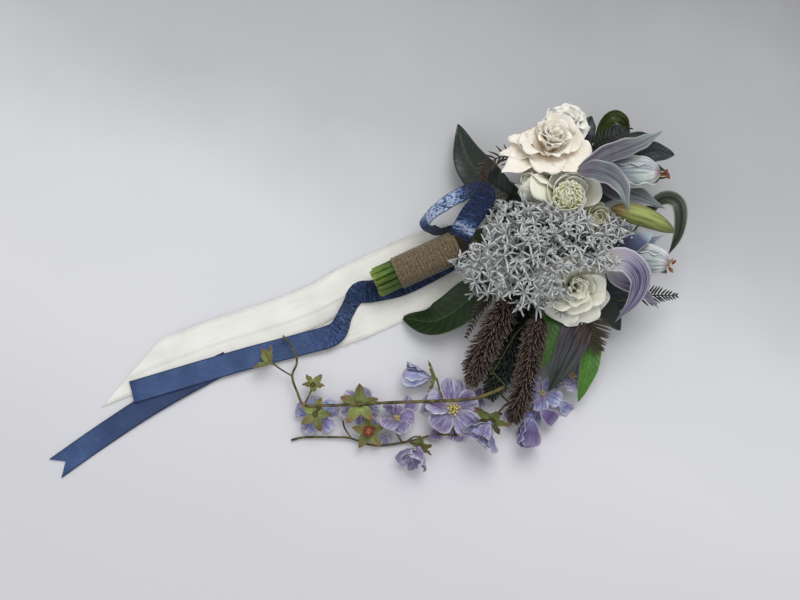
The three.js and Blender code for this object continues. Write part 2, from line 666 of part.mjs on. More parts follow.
addNode(
  'chiffon_lower',
  trimmed(
    strip([[72, 41, 8], [50, 26, 3], [22, 10, 0.35], [-45, -21, 0.35], [-111, -42, 0.35],
      [-200, -60, 0.35]], [0, 0, 1],
      chiffonWidth / 2, chiffonThickness, 12),
  ),
  'chiffon',
);
addNode(
  'chiffon_upper',
  strip([[60, 62, 11], [30, 54, 4], [0, 42, 1.5], [-54, 17, 1.5], [-112, -14, 1.5], [-222, -52, 1.5],
    [-338, -99, 0.5]], [0, 0, 1],
    chiffonWidth / 2, chiffonThickness, 12),
  'chiffon',
);
{
  const end = [-376, -187];
  const along = new THREE.Vector2(-47, -34).normalize();
  const tail = strip([[-190, -70, 2.7], [-221, -86, 2.7], [-275, -117, 2.2], [-329, -153, 0.4],
    [...end, 0.4]],
    [0, 0, 1], ribbonWidth / 2, ribbonThickness, 7);
  // The end is cut to a swallowtail: the notch is a wedge with its point on the middle line.
  const corner = (forward, across) =>
    new THREE.Vector2(end[0] + forward * along.x - across * along.y,
      end[1] + forward * along.y + across * along.x);
  const wedge = new THREE.Shape([corner(-13, 0), corner(3, -ribbonWidth * 0.6),
    corner(3, ribbonWidth * 0.6)]);
  const cutter = new THREE.ExtrudeGeometry(wedge, { depth: 20, bevelEnabled: false }).translate(0, 0,
    -10);
  addNode('velvet_tail_lower', trimmed(tail.subtract(solidOf(cutter))), 'velvet');
}
addNode(
  'velvet_tail_upper',
  strip(
    [[64, 47, 17.1], [33, 31, 8], [0, 16, 4.2], [-30, 9, 4], [-48, 4, 4], [-60, -18, 4.2], [-74, -40, 5],
    [-111, -51, 4.2],
      [-181, -70, 4.2], [-295, -104, 4]],
    [0, 0, 1], ribbonWidth / 2, ribbonThickness, 18,
  ),
  'velvet',
);
addNode(
  'velvet_loop',
  strip([[66, 75, 38], [48, 78, 36], [36, 87, 44], [48, 99, 58], [70, 108, 70], [90, 107, 78],
    [92, 90, 80], [84, 74, 70], [78, 63, 52]],
    [0, 0, 1], ribbonWidth / 2, ribbonThickness, 16, [-78, -5]),
  'velvet',
);

// Silver filler: sprays of stars. Each star is a tuft of blunt spikes, joined by a twig to the next one.

const fillerMiddle = [156, 36];
const fillerReach = [101, 62];
const fillerPitch = 18.6;
const spikeLength = 12.5;

// Height of the filler's outer surface over a plan point.
function fillerHeight(x, y) {
  const [a, b] = [(x - fillerMiddle[0]) / fillerReach[0], (y - fillerMiddle[1]) / fillerReach[1]];
  return 66 + 54 * Math.sqrt(Math.max(0, 1 - a * a - b * b)) + 8 * a;
}

let seed = 20261;
function random() {
  seed = (seed * 16807) % 2147483647;
  return seed / 2147483647;
}

// Star: arms round a short middle, and one more along its axis.
function star(centre, out) {
  const axis = vector(out).normalize();
  const across = new THREE.Vector3(0, 1, 0).cross(axis).normalize();
  const other = new THREE.Vector3().crossVectors(axis, across);
  const arms = random() < 0.5 ? 5 : 6;
  const turn = random() * 2 * Math.PI;
  const at = (radius, angle, height) => {
    const point = vector(centre).addScaledVector(axis, height);
    point.addScaledVector(across, radius * Math.cos(angle)).addScaledVector(other,
      radius * Math.sin(angle));
    return point.toArray();
  };
  const notches = Array.from({ length: arms }, (_, k) => at(3.6, turn + (2 * Math.PI * k) / arms, 0.8));
  const top = at(2 * random(), turn, spikeLength * (0.7 + 0.3 * random()));
  const bottom = at(0, 0, -2.6);
  const corners = [];
  const put = (...list) => list.forEach((p) => corners.push(...p));
  for (let k = 0; k < arms; k++) {
    const [a, b] = [notches[k], notches[(k + 1) % arms]];
    const reach = spikeLength * (0.85 + 0.35 * random());
    const rise = radians(4 + 34 * random());
    const angle = turn + (2 * Math.PI * (k + 0.5)) / arms;
    const tip = at(reach * Math.cos(rise), angle, reach * Math.sin(rise));
    put(a, b, top);
    put(a, tip, b, bottom, tip, a, bottom, b, tip);
  }
  const geometry = new THREE.BufferGeometry();
  geometry.setAttribute('position', new THREE.Float32BufferAttribute(corners, 3));
  return solidOf(geometry);
}

// Star places: a staggered net over the filler's outline, moved about a little.
function starPlaces() {
  const places = [];
  const rowStep = fillerPitch * 0.87;
  for (let row = -4; row <= 4; row++) {
    for (let k = -6; k <= 6; k++) {
      const x = fillerMiddle[0] + (k + 0.5 * Math.abs(row % 2)) * fillerPitch + 7 * (random() - 0.5);
      const y = fillerMiddle[1] + row * rowStep + 7 * (random() - 0.5);
      const reach = Math.hypot((x - fillerMiddle[0]) / fillerReach[0],
        (y - fillerMiddle[1]) / fillerReach[1]);
      if (reach < 1) places.push([x, y, fillerHeight(x, y) - 5 * random()]);
    }
  }
  return places;
}

const sprayFeet = [[88, 36, 62], [118, 44, 78], [150, 44, 88], [196, 40, 90], [128, 16, 78]];
const sprays = sprayFeet.map((foot) => ({ foot, parts: [ball(foot, [2.4, 2.4, 2.4], 0)],
  nodes: [foot] }));

function flatDistance(a, b) {
  return Math.hypot(a[0] - b[0], a[1] - b[1]);
}

for (const place of starPlaces()) {
  const nearer = (p, q) => (flatDistance(q.foot, place) < flatDistance(p.foot, place) ? q : p);
  const nearest = sprays.reduce(nearer);
  (nearest.places ??= []).push(place);
}

// Grows a spray outwards from its foot. What would cross another piece is left out.
function grow(spray) {
  const waiting = spray.places.sort((p, q) => flatDistance(p, spray.foot) - flatDistance(q, spray.foot));
  for (const place of waiting) {
    const farness = (p) => vector(p).distanceTo(vector(place));
    const near = [...spray.nodes].sort((p, q) => farness(p) - farness(q));
    const link = near.slice(0, 4).map((from) => stem([from, place], [1.1, 1], 3, 1)).find(isClear);
    if (!link) continue;
    const out = [place[0] - fillerMiddle[0], place[1] - fillerMiddle[1], 95];
    const tuft = [0, 1, 2, 3].map(() => star(place, out)).find(isClear);
    if (!tuft) continue;
    spray.parts.push(link, tuft);
    spray.nodes.push(place);
  }
  return fuse(spray.parts);
}

sprays.forEach((spray, i) => {
  addNode(`filler_spray_${i + 1}`, grow(spray), 'silver');
  carried([spray.foot[0], spray.foot[1], spray.foot[2] - 2.4], [0, 0, -1]);
});

// Blossom vine, lying on the surface: stems with pointed calyx leaves, and blue-violet blossoms.

// Five petals of a blossom, with a round heart.
function blossom(base, facing, turn, open, length, halfWidth, count = 5, cupRadius = halfWidth * 2.4) {
  const ring = { count, start: 0, length, open, halfWidth, cupRadius, lean: 0.9, tip: 0.34, cols: 2 };
  const stand = standing(base, facing, turn);
  const heart = turned(bead([0, 0, 3.2], [4, 4, 4]), stand);
  return fuse([heart, ...whorl(stand, { ...ring, roll: 16, foot: 1.5, rise: 3.2 })]);
}

const blossoms = [
  ['blossom_wide', [57, -124, 6], [0.05, 0.1, 1], 20, [66, 96], 31, 12.5],
  ['blossom_half_open', [36, -90, 17], [-1, 0.05, -0.05], 0, [32, 2], 31, 12, 4, 12],
  ['blossom_far_left', [-92, -129, 16], [0.1, 0.1, -1], 10, [62, 88], 22, 9.5],
  ['blossom_left', [-44, -119, 16], [-0.1, 0.1, -1], 40, [62, 88], 22, 9.5],
  ['blossom_middle', [-6, -136, 5], [0.3, 0.4, 0.9], 0, [50, 88], 21, 10],
  ['blossom_low', [22, -164, 12], [-0.45, -0.75, 0.5], 30, [46, 12], 27, 11, 5, 14],
  ['blossom_hanging', [98, -137, 31], [-0.55, -0.75, -0.05], 0, [30, 54], 30, 12, 4],
  ['blossom_dark', [141, -128, 22], [-0.12, -0.95, -0.08], 40, [30, 6], 35, 12, 4, 14],
  ['blossom_blue', [155, -106, 4.5], [0.1, 0.1, 1], -20, [62, 92], 21, 10],
  ['blossom_right', [190, -88, 4.4], [-0.1, 0.2, 1], 50, [58, 90], 19, 9],
];
for (const [name, ...shape] of blossoms) addNode(name, blossom(...shape), 'blossom');
carried([113, -99.8, 35.4], [0.4, 0.8, 0.2]);
carried([117.4, -115.4, 17], [0.3, 0.8, 0.4]);

// Calyx: a star of pointed leaves round a bulb. A leaf that would cross another piece or
// the surface stays short.
function calyx(base, facing, turn, open, length, count = 5) {
  const stand = standing(base, facing, turn);
  const at = (radius, angle, height) => {
    const out = stand.across.clone().multiplyScalar(Math.cos(angle));
    out.addScaledVector(stand.other, Math.sin(angle));
    return stand.base.clone().addScaledVector(out, radius).addScaledVector(stand.axis, height).toArray();
  };
  const starOf = (lengths) => {
    const corners = [];
    const put = (...list) => list.forEach((p) => corners.push(...p));
    const [top, bottom] = [at(0, 0, 1.5), at(0, 0, -3)];
    lengths.forEach((reach, k) => {
      const angle = (2 * Math.PI * k) / count;
      const [a, b] = [at(3, angle - Math.PI / count, 0.2), at(3, angle + Math.PI / count, 0.2)];
      const rib = ribArched(stand, angle, 2, 0.4, reach, open);
      const { place, side, normal } = rib(0.42);
      const off = (direction, length) => place.clone().addScaledVector(direction, length).toArray();
      const [left, right] = [off(side, 0.25 * reach), off(side, -0.25 * reach)];
      const [upper, lower] = [off(normal, 0.7), off(normal, -0.7)];
      const tip = rib(1).place.toArray();
      put(top, a, upper, top, upper, b, a, left, upper, upper, left, tip, upper, tip, right, upper, right,
        b);
      put(bottom, lower, a, bottom, b, lower, a, lower, left, lower, tip, left, lower, right, tip, lower,
        b, right);
    });
    const geometry = new THREE.BufferGeometry();
    geometry.setAttribute('position', new THREE.Float32BufferAttribute(corners, 3));
    return solidOf(geometry);
  };
  const short = Array(count).fill(5);
  const fits = (solid) => solid.boundingBox().min[2] > 0.2 && isClear(solid);
  const lengths = short.map((least, k) => (fits(starOf(short.with(k, length))) ? length : least));
  return starOf(lengths);
}

addNode(
  'vine_upper',
  fuse([
    stem([[112, -101, 35], [98, -107, 31], [78, -113, 27], [45, -115, 25], [14, -116, 24],
      [-16, -117, 24], [-54, -119, 24],
      [-84, -120, 24], [-104, -119, 21], [-112, -105, 15], [-118, -87, 14], [-113, -72, 15],
      [-117, -58, 14], [-129, -42, 12]],
      [2, 1.1], 4, 18),
    stem([[70, -113.5, 26.5], [57, -102, 22], [40, -90, 17.4]], [1.5, 1.3], 3, 3),
    calyx([38.7, -90, 17.1], [-1, 0.05, -0.05], 30, [88, 70], 14),
    stem([[-118, -87, 14], [-131, -77, 16], [-140, -73, 18]], [1.3, 1.2], 3, 2),
    calyx([-141, -73, 18], [-0.7, 0.5, 0.5], 0, [60, 44], 19),
    stem([[-84, -120, 24], [-92, -129, 22]], [1.3, 1.2], 3, 1),
    calyx([-92, -129, 20.1], [0.1, 0, 1], 0, [86, 92], 17),
    stem([[-54, -119, 24], [-44, -118.6, 20.5]], [1.3, 1.2], 3, 1),
    calyx([-43.6, -118.6, 20.1], [0.1, 0, 1], 20, [84, 92], 21),
    stem([[-104, -119, 21], [-99, -108, 20], [-95, -99, 18]], [1.2, 1.1], 3, 2),
    calyx([-95, -98, 18], [0.2, 0.5, 0.8], 50, [70, 60], 13),
  ]),
  'vine',
);

addNode(
  'vine_lower',
  fuse([
    stem([[189.5, -88.3, 2], [172, -98, 1.7], [151, -108, 2], [132, -113, 8], [116, -118, 15],
      [106, -128, 14], [87, -143, 9], [64, -151, 8], [40, -150, 6], [7, -158, 3.5], [-27, -162, 4],
      [-55, -154, 5], [-71, -153, 4], [-104, -153, 3], [-119, -156, 2.5]], [1.1, 1.2], 4, 20),
    stem([[-53, -154.5, 5], [-60, -144, 11], [-62, -136, 17]], [1.2, 1], 3, 2),
    stem([[60, -151, 7.6], [58, -138, 5], [56.8, -124, 3.6]], [1.2, 1.1], 3, 2),
    stem([[2, -158, 4], [-4, -148, 3.2], [-6.6, -136.6, 2.7]], [1.2, 1.1], 3, 2),
    stem([[-41, -158, 4.5], [-37, -152, 8], [-34, -147, 11]], [1.4, 1.3], 3, 2),
    calyx([-34, -147, 11], [0, -0.15, 1], 20, [70, 84], 19),
    stem([[139, -111.5, 5.5], [145, -117, 16], [141.1, -126.7, 22]], [1, 1.1], 3, 2),
    stem([[106, -128, 14], [110, -129, 24], [101.3, -132.8, 31.3]], [1, 1.3], 3, 2),
    calyx([99.6, -134.9, 31.1], [-0.55, -0.75, -0.05], 40, [100, 84], 18),
    stem([[7, -158, 3.5], [15, -153, 9], [22, -154, 12], [24, -160.6, 10.2]], [1.4, 1.2], 3, 3),
    calyx([23.2, -162.1, 10.7], [-0.45, -0.75, 0.5], 0, [96, 84], 15),
  ]),
  'vine',
);

addNode('berry', ball([-34.2, -147.6, 18.4], [5.6, 5.6, 5.6], 1), 'berry');

// Stems, last of all, so that each can be led round the pieces.

const joints = []; // places on the stems made so far, from which a twig may leave

// Ways for a stem from a start to a foot, with its last stretch and its middle bent more and more.
function* waysTo(start, foot, from) {
  for (const droop of [0, 0.6, 2, 6]) {
    for (const swing of [0, 70, -70]) {
      const approach = from.clone().applyAxisAngle(new THREE.Vector3(0, 0, 1), radians(swing));
      approach.z -= droop;
      approach.normalize();
      const end = foot.clone().addScaledVector(approach, seat);
      const bend = end.clone().addScaledVector(approach, Math.min(20, 0.3 * end.distanceTo(start)));
      for (const [sideways, lift] of [[0, 0], [0, -8], [8, -4], [-8, -4], [0, -16], [14, -10], [-14, -10],
        [0, 10]]) {
        const middle = bend.clone().lerp(start, 0.45).add(new THREE.Vector3(0, sideways, lift));
        yield [start, middle, bend, end];
      }
    }
  }
}

// Moves a twig's end on towards its piece, in small steps, until one more step would touch it.
function pushedOn(way, twigOf) {
  const [middle, end] = way.slice(-2);
  const ahead = end.clone().sub(middle).normalize();
  let best = twigOf(way);
  for (let push = seat; push < 8; push += seat) {
    const next = twigOf([...way.slice(0, -1), end.clone().addScaledVector(ahead, push)]);
    if (next.boundingBox().min[2] < 0.2 || !isClear(next)) break;
    best = twigOf([...way.slice(0, -1), end.clone().addScaledVector(ahead, push - seat)]);
  }
  return best;
}

// A stem to the foot of a piece: a twig off a near stem, or a whole stem from the neck.
function branch(neck, foot, from) {
  const spread = foot.clone().sub(neck).projectOnPlane(handleAxis);
  const ownStart = neck.clone().addScaledVector(spread, Math.min(0.08, 6 / spread.length()));
  const reach = 0.6 * foot.distanceTo(neck);
  const near = joints.filter((p) => p.distanceTo(foot) < reach);
  near.sort((p, q) => p.distanceTo(foot) - q.distanceTo(foot));
  for (const start of [...near.slice(0, 5), ownStart]) {
    const radii = [start === ownStart ? branchRadius : twigFootRadius, twigRadius];
    const twigOf = (way) => stem(way.map((p) => p.toArray()), radii, 3, 3);
    for (const way of waysTo(start, foot, from)) {
      const twig = twigOf(way);
      if (twig.boundingBox().min[2] < 0.2 || !isClear(twig)) continue;
      const curve = new THREE.CatmullRomCurve3(way, false, 'catmullrom', 0.5);
      if (start !== ownStart) joints.splice(joints.indexOf(start), 1); // each joint bears one twig
      const [first, second] = [curve.getPoint(1 / 3), curve.getPoint(2 / 3)];
      joints.push(first, second, first.clone().lerp(second, 0.5));
      return pushedOn(way, twigOf);
    }
  }
  throw new Error(`no clear way for the stem to ${foot.toArray()}`);
}

{
  const side = new THREE.Vector3(0, 0, 1).cross(handleAxis).normalize();
  const upward = new THREE.Vector3().crossVectors(handleAxis, side);
  const rooted = boundFrom + 8; // the cut stems run this far in, into one core
  const core = turnedOnHandle(
    [[0, rooted], [coreRadius, rooted], [coreRadius, narrowFrom - 8], [neckRadius, boundTo],
    [neckRadius, boundTo + 8],
      [0, boundTo + 8]],
    16,
  );
  const ends = bundlePlaces().map(([radius, angle], k) => {
    const early = ((k * 5) % 4) - 1.5; // the cut ends aren't quite level
    const out = side.clone().multiplyScalar(radius * Math.cos(angle));
    out.addScaledVector(upward, radius * Math.sin(angle));
    const at = (d) => vector(alongHandle(d)).add(out).toArray();
    return stem([at(early), at(rooted + 2)], [stemRadius, stemRootRadius], 6, 1);
  });
  const neck = vector(alongHandle(boundTo + 4));
  const fan = stemTips.map(({ foot, from }) => branch(neck, foot, from));
  addNode('stems', fuse([core, ...ends, ...fan]), 'stem');
}

// The origin is moved to the middle of the footprint.
{
  const middle = new THREE.Box3().setFromObject(bouquet).getCenter(new THREE.Vector3());
  for (const mesh of bouquet.children) mesh.geometry.translate(-middle.x, -middle.y, 0);
}

export default bouquet;
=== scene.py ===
import math
import bpy
import numpy as np
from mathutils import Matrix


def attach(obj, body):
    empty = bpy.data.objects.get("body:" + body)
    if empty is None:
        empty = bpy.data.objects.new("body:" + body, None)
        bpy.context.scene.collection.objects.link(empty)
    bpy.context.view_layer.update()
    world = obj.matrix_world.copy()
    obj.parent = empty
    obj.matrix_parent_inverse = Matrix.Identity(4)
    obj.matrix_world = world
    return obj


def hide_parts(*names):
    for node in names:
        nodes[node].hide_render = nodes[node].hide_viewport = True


# Hand-tied bridal bouquet: fine surfaces over the solids of the frame, their finishes, floor, light and
# camera.
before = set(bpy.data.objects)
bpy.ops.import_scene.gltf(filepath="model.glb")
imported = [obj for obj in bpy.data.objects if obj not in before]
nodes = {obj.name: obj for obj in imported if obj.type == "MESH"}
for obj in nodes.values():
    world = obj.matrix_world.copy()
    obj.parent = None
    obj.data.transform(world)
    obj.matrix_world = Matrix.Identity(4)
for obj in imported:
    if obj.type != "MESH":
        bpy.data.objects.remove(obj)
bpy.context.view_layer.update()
print("frame loaded")

# Places are written as on the plan, in millimetres: x to the right in the picture, y up in it, z up off the
# floor.
mm = 0.001
planMiddle = np.array([-38.862, 4.783, 0.0])
step = 1e-3  # share of a curve over which its direction is measured
fullTurn = 2 * math.pi


def place(points):  # plan millimetres to metres in the frame
    return (np.asarray(points, float) - planMiddle) * mm


def unit(a):  # vectors divided by their own length
    return a / np.maximum(np.linalg.norm(a, axis=-1, keepdims=True), 1e-12)


# Smooth curve through points: cubic pieces whose slope at a point is half the step between its neighbours.
def curvePoint(points, v):
    p = np.asarray(points, float)
    p = np.vstack([2 * p[0] - p[1], p, 2 * p[-1] - p[-2]])
    s = np.clip(np.asarray(v, float), 0, 1) * (len(p) - 3)
    i = np.minimum(s.astype(int), len(p) - 4)
    w = (s - i)[..., None]
    a, b, c, d = p[i], p[i + 1], p[i + 2], p[i + 3]
    return 0.5 * (2 * b + (c - a) * w + (2 * a - 5 * b + 4 * c - d) * w**2 + (3 * b - a - 3 * c + d) * w**3)


def curveWay(points, v):  # direction of a curve: from a little before a place on it to a little after
    return unit(curvePoint(points, v + step) - curvePoint(points, v - step))


# Vectors turned about unit axes: the part along the axis stays, the rest goes round by cosine and sine.
def turnAbout(a, axis, degrees):
    t = np.radians(np.asarray(degrees, float))[..., None]
    cross, dot = np.cross(axis, a), np.sum(axis * a, -1, keepdims=True)
    return a * np.cos(t) + cross * np.sin(t) + axis * dot * (1 - np.cos(t))


def around(across, other, angle):  # the direction at an angle in the plane of two directions
    return across * math.cos(angle) + other * math.sin(angle)


# Rib along a curve: for each station its place, and the directions along it, sideways and off its face. The
# sideways one is square to the curve and to up, then rolled by the degrees listed from its start to its end.
def ribAlong(points, up=(0, 0, 1), roll=(0, 0)):
    def rib(v):
        along = curveWay(points, v)
        side = unit(np.cross(along, unit(np.array(up, float))))
        side = turnAbout(side, along, np.interp(v, np.linspace(0, 1, len(roll)), roll))
        return curvePoint(points, v), along, side, unit(np.cross(side, along))
    return rib


# Where a bloom stands: its base and three directions, the last one being the way it faces.
def standing(base, facing, turn=0):
    axis = unit(np.array(facing, float))
    across = np.cross([0, 1, 0], axis)
    across = unit(across if np.linalg.norm(across) > 1e-3 else np.array([1.0, 0, 0]))
    across = turnAbout(across, axis, turn)
    return np.array(base, float), across, np.cross(axis, across), axis


# Rib of a petal: an arc that leaves the bloom's axis at one angle and has turned evenly to another at its
# tip.
def ribArched(stand, turn, foot, rise, length, opening, roll=0):
    base, across, other, axis = stand
    out = around(across, other, math.radians(turn))
    first, last = np.radians(opening)
    sweep = last - first if abs(last - first) > 1e-4 else 1e-4

    def rib(v):
        angle = (first + sweep * np.asarray(v, float))[..., None]
        reach = foot + length * (np.cos(first) - np.cos(angle)) / sweep
        high = rise + length * (np.sin(angle) - np.sin(first)) / sweep
        along = out * np.sin(angle) + axis * np.cos(angle)
        side = turnAbout(np.broadcast_to(np.cross(out, axis), along.shape), along, roll)
        return base + out * reach + axis * high, along, side, unit(np.cross(side, along))
    return rib


def outlineAt(v, lean, tip):  # share of the full width, pointed at both ends, widest at lean / (lean + tip)
    widest = lean / (lean + tip)
    return (v / widest) ** lean * ((1 - v) / (1 - widest)) ** tip


# Blade: a sheet u across and v along a rib. Its cross-section is an arc of the cup radius, its rib is
# creased, its edges wave and curl back past its middle, and a low unevenness of two crossed waves runs over
# it.
bladeShape = {"from": 0.02, "to": 0.995, "closer": 0.9, "creaseWidth": 0.16, "edgeShift": 2.4,
              "humps": (7.1, 3.3, 4.7, 3.9)}


def blade(rib, halfWidth, rows=14, cols=8, lean=0.6, tip=0.8, cup=None, crease=0.0, wave=0.0, waves=2.5,
          curl=0.0, rough=0.0, phase=0.0, tone=0.5):
    k = bladeShape
    stations = k["from"] + (k["to"] - k["from"]) * np.sin(np.linspace(0, 1,
                                                                      rows + 1) * math.pi / 2) ** k["closer"]
    where, _, side, normal = (a[:, None, :] for a in rib(stations))
    v, u = stations[:, None], np.linspace(-1, 1, cols + 1)[None, :]
    reach = u * (halfWidth * outlineAt(v, lean, tip))
    out = cup * np.sin(reach / cup) if cup else reach
    lift = cup * (1 - np.cos(reach / cup)) if cup else 0 * reach
    edge = np.abs(u)
    grow = np.sin(v * math.pi) ** 0.5 + v
    lift = lift + wave * edge**2 * grow * np.sin(fullTurn * waves * v + k["edgeShift"] * np.sign(u) + phase)
    lift = lift - curl * np.clip(v - 0.5, 0, 1) * 2 * edge**3
    lift = lift - crease * np.exp(-((u / k["creaseWidth"]) ** 2))
    a, b, c, d = k["humps"]
    lift = lift + rough * np.sin(a * v + b * u + 2.1 * phase) * np.cos(c * u - d * v + phase)
    points = where + side * out[..., None] + normal * lift[..., None]
    uv = np.stack(np.broadcast_arrays((u + 1) / 2, v), -1)
    return {"points": points, "uv": uv, "tone": tone, "closed": False}


# Tube: rings round a curve, each turned as little as can be from the last. Its radius is a number, or a
# function of the place along it and of the angle round it.
def tube(points, radius, rows=12, sides=8, tone=0.5):
    v = np.linspace(0, 1, rows + 1)
    along = curveWay(points, v)
    normal = np.empty_like(along)
    last = unit(np.cross([0.31, 0.17, 0.93], along[0]))  # square to the curve's start
    for i, direction in enumerate(along):
        last = unit(last - direction * np.dot(last, direction))
        normal[i] = last
    other = np.cross(along, normal)
    angle = np.linspace(0, fullTurn, sides, endpoint=False)[None, :]
    reach = np.broadcast_to(radius(v[:, None], angle) if callable(radius) else radius, (rows + 1, sides))
    ring = normal[:, None] * np.cos(angle)[..., None] + other[:, None] * np.sin(angle)[..., None]
    uv = np.stack(np.broadcast_arrays(angle / fullTurn, v[:, None]), -1)
    points = curvePoint(points, v)[:, None] + ring * reach[..., None]
    return {"points": points, "uv": uv, "tone": tone, "closed": True}


def tapered(first, last):  # radius that goes evenly from one value to another
    return lambda v, a: first + (last - first) * v


def rounded(radius, least=0.0, plus=0.0):  # radius of a globe: the half circle over the length of the tube
    return lambda v, a: radius * np.sqrt(np.clip(1 - (2 * v - 1) ** 2, least, 1)) + plus


def offFloor(grids, least=0.4):  # lifts what lies under the least height up to it
    for g in grids:
        g["points"][..., 2] = np.maximum(g["points"][..., 2], least)
    return grids


# Sheets and tubes to one mesh. A tube is closed by a fan at each end. Each face corner keeps its (u, v) and
# each point the tone of its sheet.
def meshOf(name, grids):
    points, faces, uvs, tones = [], [], [], []
    start = 0
    for g in grids:
        rows, cols = g["points"].shape[:2]
        index = start + np.arange(rows * cols).reshape(rows, cols)
        left, right = (index, np.roll(index, -1, 1)) if g["closed"] else (index[:, :-1], index[:, 1:])
        uv = g["uv"]
        uvLeft, uvRight = (uv, np.roll(uv, -1, 1)) if g["closed"] else (uv[:, :-1], uv[:, 1:])
        own = g["points"].reshape(-1, 3)
        if g["closed"]:
            uvRight[:, -1, 0] = 1
        quads = np.stack([left[:-1], right[:-1], right[1:], left[1:]], -1).reshape(-1, 4)
        corner = np.stack([uvLeft[:-1], uvRight[:-1], uvRight[1:], uvLeft[1:]], -2).reshape(-1, 4, 2)
        if g["closed"]:
            own = np.vstack([own, g["points"][0].mean(0), g["points"][-1].mean(0)])
            for edge, height, centre, way in ((index[0], 0.0, start + rows * cols, -1),
                                              (index[-1], 1.0, start + rows * cols + 1, 1)):
                pair = [edge, np.roll(edge, -1)][::way]
                middle = np.full(cols, centre)
                quads = np.vstack([quads, np.stack([*pair, middle, middle], -1)])
                corner = np.concatenate([corner, np.tile([[0.5, height]], (cols, 4, 1))])
        points.append(own)
        faces.append(quads)
        uvs.append(corner)
        tones.append(np.ravel(g["tone"]) if np.ndim(g["tone"]) else np.full(len(own), g["tone"]))
        start += len(own)
    points, faces, uvs = place(np.vstack(points)), np.vstack(faces), np.concatenate(uvs)
    fan = faces[:, 2] == faces[:, 3]
    keep = np.stack([np.full_like(fan, True)] * 3 + [~fan], -1)  # a fan's faces have three corners
    size = keep.sum(1)
    mesh = bpy.data.meshes.new(name)
    mesh.vertices.add(len(points))
    mesh.vertices.foreach_set("co", points.astype(np.float32).ravel())
    mesh.loops.add(int(size.sum()))
    mesh.loops.foreach_set("vertex_index", faces[keep].astype(np.int32))
    mesh.polygons.add(len(faces))
    mesh.polygons.foreach_set("loop_start", np.concatenate([[0], np.cumsum(size)[:-1]]).astype(np.int32))
    mesh.update(calc_edges=True)
    mesh.uv_layers.new(name="petal").data.foreach_set("uv", uvs[keep].astype(np.float32).ravel())
    toneOf = mesh.attributes.new("tone", "FLOAT", "POINT").data
    toneOf.foreach_set("value", np.concatenate(tones).astype(np.float32))
    mesh.shade_smooth()
    mesh.validate()
    return mesh


# A piece: its mesh, finish and thickness, and the nodes of the frame that it stands for.
def piece(name, grids, finish, replaces=(), thick=0.0):
    mesh = meshOf(name, grids)
    mesh.materials.append(finish)
    obj = bpy.data.objects.new(name, mesh)
    bpy.context.scene.collection.objects.link(obj)
    if thick:
        solid = obj.modifiers.new("thickness", "SOLIDIFY")
        solid.thickness = thick * mm
        solid.offset = 0
    if replaces:
        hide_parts(*replaces)
    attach(obj, "root")
    return obj


# Finishes. Each is a small tree of nodes that reads the piece's own (u, v), its tone or Object coordinates.
def paint(code):  # "#rrggbb" to a linear colour
    channels = [int(code[i:i + 2], 16) / 255 for i in (1, 3, 5)]
    return (*[c / 12.92 if c <= 0.04045 else ((c + 0.055) / 1.055) ** 2.4 for c in channels], 1)


def put(tree, kind, inputs=None, **settings):  # new node with its settings, its inputs linked or set
    made = tree.nodes.new(kind)
    for key, value in settings.items():
        setattr(made, key, value)
    for key, value in (inputs or {}).items():
        if isinstance(value, bpy.types.NodeSocket):
            tree.links.new(value, made.inputs[key])
        else:
            made.inputs[key].default_value = value
    return made


def calc(tree, operation, a, b=0.0, c=0.0, clamp=False):  # one operation on up to three values
    return put(tree, "ShaderNodeMath", {0: a, 1: b, 2: c}, operation=operation, use_clamp=clamp).outputs[0]


def times(tree, a, b):  # a b
    return calc(tree, "MULTIPLY", a, b)


def timesPlus(tree, a, b, c):  # a b + c
    return calc(tree, "MULTIPLY_ADD", a, b, c)


def vector(tree, x, y, z):
    return put(tree, "ShaderNodeCombineXYZ", {0: x, 1: y, 2: z}).outputs[0]


# A value turned to atLow up to low and to atHigh from high, even in between.
def fade(tree, value, low, high, atLow, atHigh, kind="LINEAR"):
    inputs = {0: value, 1: low, 2: high, 3: atLow, 4: atHigh}
    return put(tree, "ShaderNodeMapRange", inputs, interpolation_type=kind).outputs[0]


def blend(tree, factor, a, b, mode="MIX"):  # from colour a to colour b by the factor
    return put(tree, "ShaderNodeMix", {0: factor, 6: a, 7: b}, data_type="RGBA", blend_type=mode).outputs[2]


def lightened(tree, colour, light):  # colour times the same number in each channel
    level = put(tree, "ShaderNodeCombineColor", {0: light, 1: light, 2: light}).outputs[0]
    return blend(tree, 1.0, colour, level, "MULTIPLY")


def ramp(tree, factor, stops):  # colours or grey values, even between their positions
    made = put(tree, "ShaderNodeValToRGB", {0: factor})
    bar = made.color_ramp
    while len(bar.elements) < len(stops):
        bar.elements.new(0.5)
    for element, (position, code) in zip(bar.elements, stops):
        element.position = position
        element.color = paint(code) if isinstance(code, str) else (code, code, code, 1)
    return made.outputs[0]


def noise(tree, where, scale, detail=3.0, rough=0.55, bent=0.0):
    inputs = {"Vector": where, "Scale": scale, "Detail": detail, "Roughness": rough, "Distortion": bent}
    return put(tree, "ShaderNodeTexNoise", inputs).outputs[0]


def startFinish(name, roughness=0.6, sheen=0.0, specular=0.35):
    finish = bpy.data.materials.new(name)
    finish.use_nodes = True
    tree = finish.node_tree
    shader = tree.nodes["Principled BSDF"]
    shader.inputs["Roughness"].default_value = roughness
    shader.inputs["Sheen Weight"].default_value = sheen
    shader.inputs["Specular IOR Level"].default_value = specular
    return finish, tree, shader


def colourOn(tree, shader, colour):
    tree.links.new(colour, shader.inputs["Base Color"])


def bumpOn(tree, shader, height, strength, distance):
    bump = put(tree, "ShaderNodeBump", {"Height": height, "Strength": strength, "Distance": distance * mm})
    tree.links.new(bump.outputs[0], shader.inputs["Normal"])


def objectPlace(tree):
    return put(tree, "ShaderNodeTexCoord").outputs["Object"]


